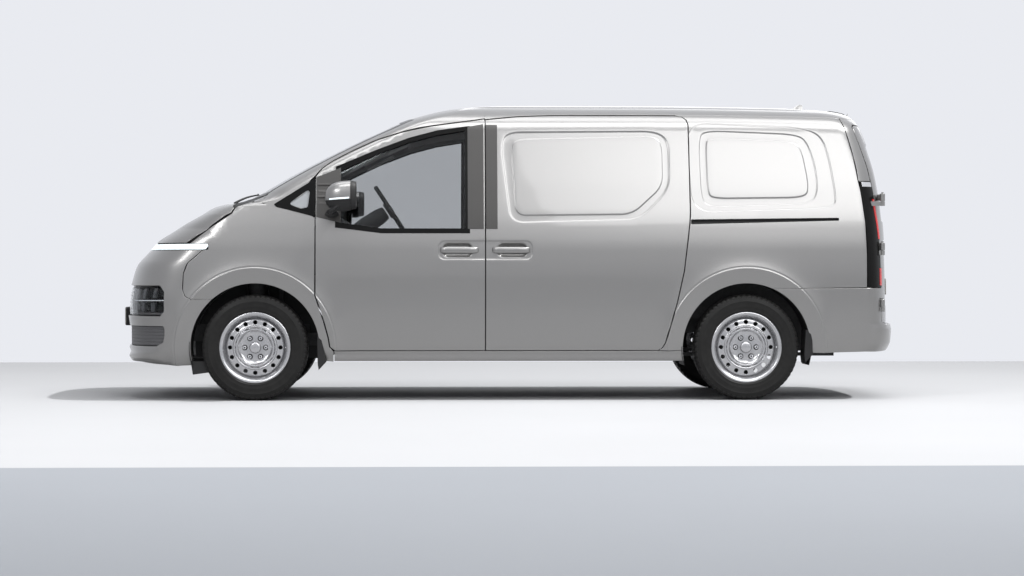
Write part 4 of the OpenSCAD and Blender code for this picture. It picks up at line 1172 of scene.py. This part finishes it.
def tail_lamps():
    front_edge = on_tail([(768, LAMP_TOP), (778, 1393), (801, 1198), (810, 969), (812, LAMP_FOOT)])
    outline = front_edge + [lamp_side(z) for z in np.linspace(LAMP_FOOT, LAMP_TOP, 12)]
    pair("tail_lamp", panel_sheet(tail_map, outline, depth=WALL, step=26, edge=3), GLOSS, node="tail_lamps")
    red, plain, clear = Sheet(), Sheet(), Sheet()
    rows = [(1078 + 362 * i / 59, 3) for i in range(44)] + [(768 + 108 * i / 15, 4) for i in range(16)]
    for z, columns in rows:
        low, t = lamp_side(z)
        for c in range(columns):
            s = low - 5 - 19 * c
            cell = [(s - 16, t - 2.6), (s, t - 2.6), (s, t + 2.6), (s - 16, t + 2.6)]
            red.merge(panel_sheet(tail_map, cell, depth=5, step=20, edge=0.8, lift=3))
    pair("tail_lamp_red", red, RED)
    inset = [(end_yz(1 - LAMP_EDGE, z, True)[0] - 44, tail_t(z)) for z in (884, 1066)]
    for sheet, z0, z1, (low_front, high_front) in ((clear, 1430, 1462, on_tail([(784, 1430), (780, 1462)])),
                                                   (plain, 884, 1066, inset)):
        low, high = lamp_side(z0, 1 - LAMP_EDGE), lamp_side(z1, 1 - LAMP_EDGE)
        block = [low_front, (low[0] - 6, low[1]), (high[0] - 6, high[1]), high_front]
        sheet.merge(panel_sheet(tail_map, block, depth=8, step=20, edge=1.5, lift=2.5))
    pair("tail_lamp_plain", plain, PAINT)
    pair("tail_lamp_clear", clear, BRIGHT)


def rear_bumper():
    low, middle = end_yz(-0.01, 330, True), end_yz(-0.01, STEP_TOP, True)
    half = [low] + on_tail([(800, 322), (100, 306), (100, 742), (804, 746)])
    half += on_rear([(-866, 746), (-866, STEP_TOP)]) + [middle]

    def height(s, t):
        z, p = tail_z(t), tail_map(s, t)
        band = np.clip((z - 312) / 70, 0, 1) * np.clip((STEP_TOP + 6 - z) / 14, 0, 1)
        round_end = np.clip((1560 - np.abs(s)) / 330, 0, 1)
        return 38 * np.sqrt(band) * round_end ** 2 * (3 - 2 * round_end) + flare(p[:, 0], p[:, 2])

    sheet = panel_sheet(tail_map, resample(both(half), 60), end_openings(REAR_X, True), step=28, height=height,
                        lines=end_arch_lines(REAR_X, True))
    single("rear_bumper", sheet, PAINT, ["rear_bumper"])


def rear_doors():
    edge = [(-5, z) for z in np.linspace(1866, 515, 12)]
    outline = on_rear([(-858, 515), (-858, 1250), (-762, 1800), (-735, 1850), (-700, 1866)] + edge)
    blank = turned_left(rounded(on_rear([(-795, 1190), (-712, 1730), (-90, 1752), (-90, 1190)]), 60))
    low = turned_left(rounded(on_rear([(-790, 620), (-790, 1080), (-90, 1080), (-90, 620)]), 50))
    presses = [press(blank, -8, 16), press(low, -5, 14)]
    sheet = panel_sheet(tail_map, resample(outline, 60), step=34, presses=presses)
    pair("rear_door_skin", sheet, PAINT, "rear_door_*", "rear_door_*")
    t0, t1 = end_t(1085, True), end_t(1130, True) + 60
    grip = rounded([(-118, t0), (-118, t1), (-52, t1), (-52, t0)], 18)
    pair("rear_door_handle", panel_sheet(tail_map, grip, depth=20, step=14, edge=5, lift=16), BLACK, "rear_door_*")

    def leaf(points, z0, z1):
        return upright(points, ((z0, 0.93), (z0 + 1.5, 1), (z1 - 1.5, 1), (z1, 0.93)))

    leaves = []
    barrel = [(HINGE_X + 17 * math.cos(a), HINGE_Y + 17 * math.sin(a)) for a in turns(24)]
    for z in REAR_HINGES:
        leaves.append(leaf(barrel, z, z + 50))
        if z > STRAP_LOW:
            s, t = end_yz(-800, z, True)
            x_door = float(tail_map(np.array([s]), np.array([t]))[0, 0])
            strap = [(HINGE_X - 8, HINGE_Y + 8), (HINGE_X + 12, HINGE_Y + 8), (x_door + 12, 800),
                     (x_door - 6, 800)]
            leaves.append(leaf(strap, z + 4, z + 46))
    both_solids("rear_hinge_leaves", joined(leaves), PAINT, "rear_door_*", given="right")


# ---- trims on the sides
def side_trims():
    def trim(name, outer, mat, holes=(), body="front_door_*", node=None, **how):
        pair(name, panel_sheet(side_map, outer, holes, **how), mat, body, node)

    surround = rounded([(-1586, 1303), (-1306, 1478), (-1306, 1219), (-1566, 1286)], 8)
    glass = rounded([(-1489, 1307), (-1358, 1401), (-1345, 1384), (-1358, 1284), (-1405, 1275)], 14)
    trim("quarter_surround", surround, GLOSS, [glass], "van_body", depth=16, step=22, edge=1.5, lift=2)
    trim("quarter_glass", shifted(turned_left(glass), -4), PALE_GLASS, (), "van_body", "quarter_windows", depth=5,
         step=30, edge=1, lift=-5)

    def ribs(s, t):
        near = np.clip((s + 1295) / 8, 0, 1) * np.clip((-1205 - s) / 8, 0, 1)
        return 4 * sum(np.exp(-((t - z) / 4) ** 2) for z in (1312, 1352, 1392, 1432)) * near

    trim("mirror_sail", [(-1302, 1219), (-1302, 1484), (-1140, 1549), (-1140, 1180)], TRIM, depth=10, step=9,
         edge=1.5, lift=3, height=ribs)
    trim("window_seal", glass_outline(27), GLOSS, [glass_outline(-6)], depth=26, step=30, edge=2, lift=2)
    trim("door_pillar_trim", [(-297, 1140), (POST_X - 12, 1140), (POST_X - 12, 1845), (-297, 1826)], TRIM, depth=8,
         step=40, edge=2, lift=3)
    trim("slide_pillar_trim", [(POST_X + 4, 1140), (-98, 1140), (-98, 1840), (POST_X + 4, 1840)], TRIM, (),
         "van_body", depth=8, step=40, edge=2, lift=3)
    trim("pillar_post", [(POST_X - 60, 300), (POST_X + 60, 300), (POST_X + 60, 1895), (POST_X - 60, 1895)], UNDER,
         (), "van_body", depth=50, step=60, edge=1, lift=-WALL - 6)


def power_wave(x, power):
    """x raised to a power with its sign kept, which squares off a round outline."""
    return math.copysign(abs(x) ** power, x)


def handle_bar(x0, x1):
    """A handle along the side: both ends curve down to the panel."""
    z, half_high, rise, thick, count, ring = 1000, 22, 16, 13, 26, 14
    rings = []
    for i in range(count):
        u = i / (count - 1)
        end = 1 - abs(2 * u - 1) ** 7
        x = x0 + (x1 - x0) * u
        surf = float(half_width(np.array([x]), np.array([float(z)]))[0])
        angles = [2 * math.pi * k / ring for k in range(ring)]
        rings.append([(x, -(surf - 14 + rise * end + thick * math.sin(a) * (0.35 + 0.65 * end)),
                       z + half_high * power_wave(math.cos(a), 0.7) * (0.7 + 0.3 * end)) for a in angles])
    return loft(rings)


def handles():
    both_solids("front_handle", handle_bar(-485, -221), PAINT, "front_door_*", 60)
    both_solids("slide_handle", handle_bar(-138, 121), PAINT, sharp=60)


def egg(x, y, z, ry, rz, power=2.6, count=40):
    angles = [2 * math.pi * k / count for k in range(count)]
    return [(x, y + ry * power_wave(math.cos(a), 2 / power), z + rz * power_wave(math.sin(a), 2 / power))
            for a in angles]


def mirrors():
    y, z, length, start = -(HALF + 138), 1345, 168, -1238
    steps = [(0.0, 0.06), (0.02, 0.28), (0.07, 0.5), (0.15, 0.68), (0.28, 0.84), (0.45, 0.95), (0.65, 1.0),
             (1.0, 1.0)]

    def piece(name, rings, mat=BLACK, sharp=60, node=None):
        both_solids("mirror_" + name, loft(rings), mat, "front_door_*", sharp, node)

    piece("shell", [egg(start + length * u, y, z + 14 * u, 86 * k, 98 * k, 2.7) for u, k in steps], PAINT)
    piece("lower", [[(px, py, min(pz, z - 22 + 10 * u))
                     for px, py, pz in egg(start + length * u, y, z + 14 * u, 88 * k + 1, 100 * k + 1, 2.7)]
                    for u, k in steps])
    piece("case", [egg(start + length + d, y, z + 14, 86 * k, 98 * k, 2.7) for d, k in
                   ((1, 0.98), (10, 0.97), (34, 0.92), (38, 0.88), (38, 0.8), (30, 0.79))], sharp=50)
    piece("glass", [egg(start + length + 31 + d, y, z + 14, 68, 77, 2.9) for d in (-3, 1.5)], BRIGHT, 30)
    piece("base", [egg(-1210 + 12 * u, y - 10, z - 96 + 8 * u, 70 * k, 26 * k, 2.4) for u, k in
                   ((0, 0.5), (1, 0.9), (8, 1.0), (11, 0.7))], sharp=50)
    piece("arm", [[(-1196 + 42 * math.cos(a) * (1.15 - 0.35 * u), -(HALF - 42) - 150 * u,
                    1238 + 12 * u + (23 - 4 * u) * math.sin(a)) for a in turns(18)]
                  for u in np.linspace(0, 1, 8)], node="mirror_*")
    piece("repeater", [egg(start + length * u, y - 87 * k, z - 16 + 12 * u, 4, 5, 2.2, 12)
                       for u, k in ((0.18, 0.74), (0.45, 0.95), (0.7, 1.0), (0.95, 1.0))], GLOW)


# ---- lower body
def bonnet_arms():
    """The arms under the bonnet's rear corners that reach back to its pins."""
    pin_x, pin_z = FRONT_X - 107, 1303
    outline = [(pin_x + x, pin_z + z)
               for x, z in ((-105, -113), (-90, -123), (12, -14), (12, 12), (-12, 12), (-110, -88))]
    both_solids("bonnet_arm", side_prism(outline, -728, -702), UNDER, body="bonnet")


def arch_liner(x, y_in):
    """A thin curved wall over a wheel."""
    angles = np.radians(np.linspace(-16, 196, 64))
    loop = [(x + (ARCH_R + out) * math.cos(a), WHEEL_Z + (ARCH_R + out) * math.sin(a))
            for out, turn in ((5, angles), (9, angles[::-1])) for a in turn]
    n, m = len(loop), len(angles)
    verts = np.array([(px, y, pz) for y in (-(HALF - 34), y_in) for px, pz in loop])
    faces = [(i, (i + 1) % n, (i + 1) % n + n, i + n) for i in range(n)]
    for k, turn in ((0, -1), (n, 1)):
        faces += [(k + i, k + i + 1, k + n - 2 - i, k + n - 1 - i)[::turn] for i in range(m - 1)]
    return verts, faces


def lower_body():
    front_end, rear_end = FRONT_X + 526, REAR_X - 380
    outer = [(front_end, SKIRT_LOW), (front_end, 327), (rear_end, 327), (rear_end, SKIRT_LOW)]

    def steps(s, t):
        return -6 * np.exp(-((t - 303) / 3) ** 2) + 3 * np.clip((300 - t) / 8, 0, 1)

    sheet = panel_sheet(side_map, outer, [wheel_opening(REAR_X)], depth=WALL, step=20, height=steps)
    pair("sill_panel", sheet, PAINT, node="sills")
    edge, inner = -(HALF - 26), -(WHEEL_Y - 95)
    for name, y, node, outline in (
            ("front_flap", edge, "mud_flaps",
             [(-1296, 430), (-1270, 424), (-1236, 259), (-1286, 204), (-1293, 250)]),
            ("rear_flap", edge, None,
             [(1960, 466), (1990, 470), (2006, 396), (2008, 304), (1956, 244), (1950, 300)]),
            ("front_deflector", edge + 40, None, [(-2136, 262), (-2016, 262), (-2018, 186), (-2122, 172)])):
        both_solids(name, side_prism(outline, y, inner), BLACK, node=node)
    both_solids("front_arch_liner", arch_liner(FRONT_X, -(WHEEL_Y - 200)), BLACK, sharp=30, node="wheel_liners")
    both_solids("rear_arch_liner", arch_liner(REAR_X, -650), BLACK, sharp=30)
    wall = [(x, z) for x, z in circle(FRONT_X, WHEEL_Z, ARCH_R + 6, 64) if z > 240]
    wall.sort(key=lambda p: math.atan2(p[1] - WHEEL_Z - 150, p[0] - FRONT_X))
    both_solids("front_inner_wall", side_prism(wall, -(WHEEL_Y - 366), -(WHEEL_Y - 372)), BLACK)


def block(s0, s1, t0, t1):
    return [(s0, t0), (s1, t0), (s1, t1), (s0, t1)]


def plates():
    holder = turned_left(rounded(block(-262, 262, 487, 611), 10))

    def flat_map(s, t):
        return np.stack([np.full(len(s), NOSE_X - 42.0) + 0.00035 * s * s, s, t], -1)

    single("plate_holder", panel_sheet(flat_map, holder, depth=40, step=60, edge=3), BLACK)
    single("front_plate", panel_sheet(flat_map, shifted(holder, 5), depth=3, step=80, edge=1, lift=3), LINER)
    back = rounded(block(-620, -100, end_t(700, True), end_t(810, True)), 8)
    sheet = panel_sheet(tail_map, back, depth=6, step=60, edge=1.5, lift=6)
    single("rear_plate", sheet, LINER, body="rear_door_left")


def roof_fittings():
    fin = []
    for u in np.linspace(0, 1, 10):
        h = 54 * math.sin(math.pi * min(1, u * 0.5 + 0.02)) ** 0.8 * (1 if u < 0.9 else 0.85)
        x = 1992 + 84 * u
        base = top_at(x, 0) - 3
        fin.append([(x, 14 * (1 - 0.75 * max(0, math.sin(a))) * math.cos(a), base + h * max(0, math.sin(a)))
                    for a in turns(16)])
    place(solid("antenna_fin", *loft(fin), 60), PAINT)
    lamp = rounded(block(-190, 190, *(end_yz(-1, z, True)[1] for z in (1885, 1905))), 8)
    single("high_brake_lamp", panel_sheet(tail_map, lamp, depth=14, step=30, edge=2, lift=5), RED)


def roof_strip():
    strip = rounded(block(2213, 2325, -330, 330), 30)
    single("roof_strip", panel_sheet(top_map, strip, depth=8, step=50, edge=2, lift=6), GLOSS)


def wipers():
    def on_screen(y, z, lift):
        p, n = surface(nose_map, flat, np.array([end_yz(y, z)[0]]), np.array([end_t(z)]), lift)
        return p[0], n[0]

    for number, y0 in ((1, -600), (2, 40)):
        blade, arm = [], []
        for u in np.linspace(0, 1, 14):
            y = y0 + 560 * u
            p, n = on_screen(y if abs(y) > 1 else 1, 1366 + 12 * math.sin(math.pi * (0.15 + 0.5 * u)), 8)
            blade.append([tuple(p + n * 7 * math.cos(a) + np.array([0, 0, 4]) * math.sin(a)) for a in turns(8)])
        (foot, up), (tip, _) = on_screen(y0 + 20, 1318, 2), on_screen(y0 + 300, 1374, 11)
        for u in np.linspace(0, 1, 8):
            c = foot * (1 - u) + tip * u + up * 9 * math.sin(math.pi * u)
            arm.append([tuple(c + up * (8 - 3 * u) * math.cos(a) + np.array([7 - 2 * u, 0, 0]) * math.sin(a))
                        for a in turns(10)])
        ob = solid(f"wiper_{number}", *joined([loft(blade), loft(arm)]), 50)
        place(ob, BLACK, nodes=["wipers"] if number == 1 else ())


# ---- cab
def steering():
    low, high = np.array(node_box("steering_wheel"))
    middle, tilt = (low + high) / 2, math.radians(57)
    axis = np.array([math.sin(tilt), 0, math.cos(tilt)])
    up = np.array([-math.cos(tilt), 0, math.sin(tilt)])
    side = np.array([0, 1.0, 0])

    def at(u, v, w):
        return tuple(middle + up * u + side * v + axis * w)

    def turned(rows, count, wide=1):
        return loft([[at(r * math.cos(b), wide * r * math.sin(b), w) for b in turns(count)] for r, w in rows])

    def spoke(a):
        return loft([[at(r * math.cos(a) - w * math.sin(a) * math.cos(b),
                         r * math.sin(a) + w * math.cos(a) * math.cos(b), 7 * math.sin(b) - 10)
                      for b in turns(12)] for r, w in ((40, 34), (90, 24), (170, 20))])

    rim = loft([[at((178 + 15 * math.cos(b)) * math.cos(a), (178 + 15 * math.cos(b)) * math.sin(a),
                    15 * math.sin(b)) for b in turns(14)] for a in np.linspace(0, 2 * math.pi, 73)])
    hub = turned([(52, -26), (60, -18), (58, 6), (44, 14), (10, 17)], 32, 1.15)
    spokes = [spoke(a) for a in (math.pi / 2, -math.pi / 2, math.pi)]
    place(solid("steering_rim", *joined([rim, hub] + spokes), 60), CABIN, "steering_wheel", ["steering_wheel"])
    column = turned([(38, -380), (50, -330), (58, -200), (56, -90), (46, -40), (34, -34)], 20)
    stalks = [loft([[at(6 * math.cos(b) + 4, y, -50 + 6 * math.sin(b)) for b in turns(8)]
                    for y in (s * 40, s * 150)]) for s in (-1, 1)]
    place(solid("steering_column", *joined([column] + stalks), 50), CABIN)


def headliner():
    """A double sheet under the roof, which sinks with the windscreen and towards the sides."""
    xs, across, drop, thick = np.linspace(-700, 2150, 26), np.linspace(-1, 1, 17), 78, 6
    heights, depths = zip(*NOSE[6:])
    verts = []
    for x in xs:
        for v in across:
            y = v * 640
            ceiling = np.interp(x - NOSE_X, depths, heights)
            top = min(top_at(x, y), ceiling)
            verts.append((x, y, top - drop - 55 * abs(v) ** 4))
    row = len(across)
    starts = [i * row + k for i in range(len(xs) - 1) for k in range(row - 1)]
    faces = [(a, a + 1, a + row + 1, a + row) for a in starts]
    n = len(verts)
    faces += [tuple(i + n for i in f[::-1]) for f in faces]
    verts = np.concatenate([verts, np.array(verts) + [0, 0, thick]])
    place(solid("headliner", verts, faces, 60), LINER)


def hood(x, z):
    """How much of the instrument hood's rise a point of the dashboard takes."""
    return 0 if z <= 1085 else 1 if x > -1230 else 0.4 if x > -1340 else 0


def cabin():
    steering()
    for s, name in ((-1, "driver"), (1, "passenger")):
        rows = [[(-985 + 175 * u + 9 * math.cos(b), s * (430 + 175 * power_wave(math.sin(b), 0.6)),
                  1585 + 95 * u + 8 * math.cos(b)) for b in turns(24)] for u in np.linspace(0, 1, 5)]
        place(solid("visor_" + name, *loft(rows), 60), LINER)
    headliner()
    dash = rounded([(-1450, 900), (-1455, 1180), (-1440, 1196), (-1300, 1182), (-1282, 1170), (-1150, 1120),
                    (-1105, 1092), (-1092, 1060), (-1078, 980), (-1085, 900), (-1140, 850), (-1380, 850)], 22, 4)
    rows = []
    for y in np.linspace(-760, 760, 39):
        rise, fall_off = 105 * math.exp(-((y + 390) / 170) ** 4), 18 * (abs(y) / 760) ** 4
        rows.append([(x, y, z + rise * hood(x, z) - fall_off) for x, z in dash])
    screen = loft([[(x, y, z) for x, z in ((-1128, 1110), (-1100, 1112), (-1090, 1260), (-1106, 1262))]
                   for y in (-60, 90)])
    place(solid("dashboard_top", *loft(rows), 32), CABIN, nodes=["dashboard"])
    place(solid("dash_screen", *screen, 30), GLOSS, slot="cab_plastic")


def screen_seal():
    """Dark rubber between the windscreen and the pillars."""
    ring = panel_sheet(nose_map, screen_outline(10), [screen_outline(-14)], depth=12, step=40, edge=1.5, lift=1)
    single("screen_seal", ring, GLOSS)


# ---- stage and camera
WORLD_LIGHT = 0.2


def slab(name, low, high, z, color, rough):
    """A flat piece of the studio's floor, faintly mottled."""
    (x0, y0), (x1, y1) = low, high
    mesh = bpy.data.meshes.new(name)
    mesh.from_pydata([(x0, y0, z), (x1, y0, z), (x1, y1, z), (x0, y1, z)], [], [(0, 1, 2, 3)])
    ob = link(bpy.data.objects.new(name, mesh))
    mesh.materials.append(material(name + "_paint", color, rough, spread=0.015, scale=0.5))


def stage():
    slab("studio_floor", (-40, -6.9), (40, 6.5), 0.0, (0.4, 0.404, 0.415), 0.7)
    slab("studio_front", (-40, -40), (40, -6.9), 0.0, (0.225, 0.238, 0.259), 0.7)
    world = bpy.data.worlds.new("studio")
    bpy.context.scene.world = world
    world.use_nodes = True
    tree = world.node_tree
    shade = tree.nodes["Background"]
    shade.inputs["Color"].default_value = (0.95, 0.96, 1.0, 1)
    shade.inputs["Strength"].default_value = WORLD_LIGHT
    show = tree.nodes.new("ShaderNodeBackground")
    show.inputs["Color"].default_value = (0.815, 0.83, 0.875, 1)
    mix = tree.nodes.new("ShaderNodeMixShader")
    path = tree.nodes.new("ShaderNodeLightPath")
    seen = path.outputs["Is Camera Ray"]
    for kind in ("Is Glossy Ray", "Is Transmission Ray"):
        add = tree.nodes.new("ShaderNodeMath")
        add.use_clamp = True
        tree.links.new(seen, add.inputs[0])
        tree.links.new(path.outputs[kind], add.inputs[1])
        seen = add.outputs[0]
    tree.links.new(seen, mix.inputs["Fac"])
    tree.links.new(shade.outputs[0], mix.inputs[1])
    tree.links.new(show.outputs[0], mix.inputs[2])
    tree.links.new(mix.outputs[0], tree.nodes["World Output"].inputs["Surface"])


def sun(name, toward, strength, spread):
    light = bpy.data.lights.new(name, "SUN")
    light.energy = strength
    light.angle = math.radians(spread)
    link(bpy.data.objects.new(name, light)).rotation_euler = Vector(toward).to_track_quat("Z", "Y").to_euler()


def lamp(name, where, target, size, watts):
    light = bpy.data.lights.new(name, "AREA")
    light.shape = "RECTANGLE"
    light.size, light.size_y = size
    light.energy = watts
    ob = link(bpy.data.objects.new(name, light))
    ob.location = where
    ob.rotation_euler = (Vector(target) - Vector(where)).to_track_quat("-Z", "Y").to_euler()


def camera():
    data = bpy.data.cameras.new("camera")
    data.lens, data.sensor_width = 92.4, 36
    ob = link(bpy.data.objects.new("camera", data))
    ob.location = (-0.591, -18.44, 0.8577)
    yaw, pitch = math.radians(1.93), math.radians(-0.36)
    ob.rotation_euler = (math.pi / 2 + pitch, 0, -yaw)
    bpy.context.scene.camera = ob


for build in (front_bumper, grille, headlamps, light_bar, bonnet, cowl, wheels, fender, rear_frame, tail_lamps,
              rear_bumper, rear_doors, side_trims, handles, mirrors, bonnet_arms, lower_body, plates,
              roof_fittings, roof_strip, wipers, cabin, screen_seal, front_doors, side_panels, sliding_doors, roof,
              cab_frame, stage):
    build()
sun("sun", (0.57, -0.1, 0.82), 3.2, 1.5)
lamp("key", (4.8, -9.8, 6.7), (1.0, 0, 1.3), (9, 4.4), 590)
lamp("top", (0.8, -3.4, 7.6), (0, -0.6, 1.0), (9, 3), 420)
lamp("front", (-5.4, -8.9, 5.2), (-1.8, -0.8, 1.1), (2.8, 2.4), 230)
lamp("roof", (0.5, 0.5, 7.4), (0.5, 0, 1.9), (9, 2.4), 230)
lamp("fill", (3, 9, 4.5), (0, 0, 1.0), (7, 3), 80)
camera()
scene = bpy.context.scene
scene.view_settings.view_transform = "Standard"
carried = {slot: mat for mat, slot in reversed(list(SLOTS.items()))}
slots = {part["node"]: part["material_slot"] for part in frame["record"]["subparts"]}
for node, ob in frame["nodes"].items():
    ob.data.materials.clear()
    ob.data.materials.append(PAINT if node == "door_hinges" else carried.get(slots[node], UNDER))
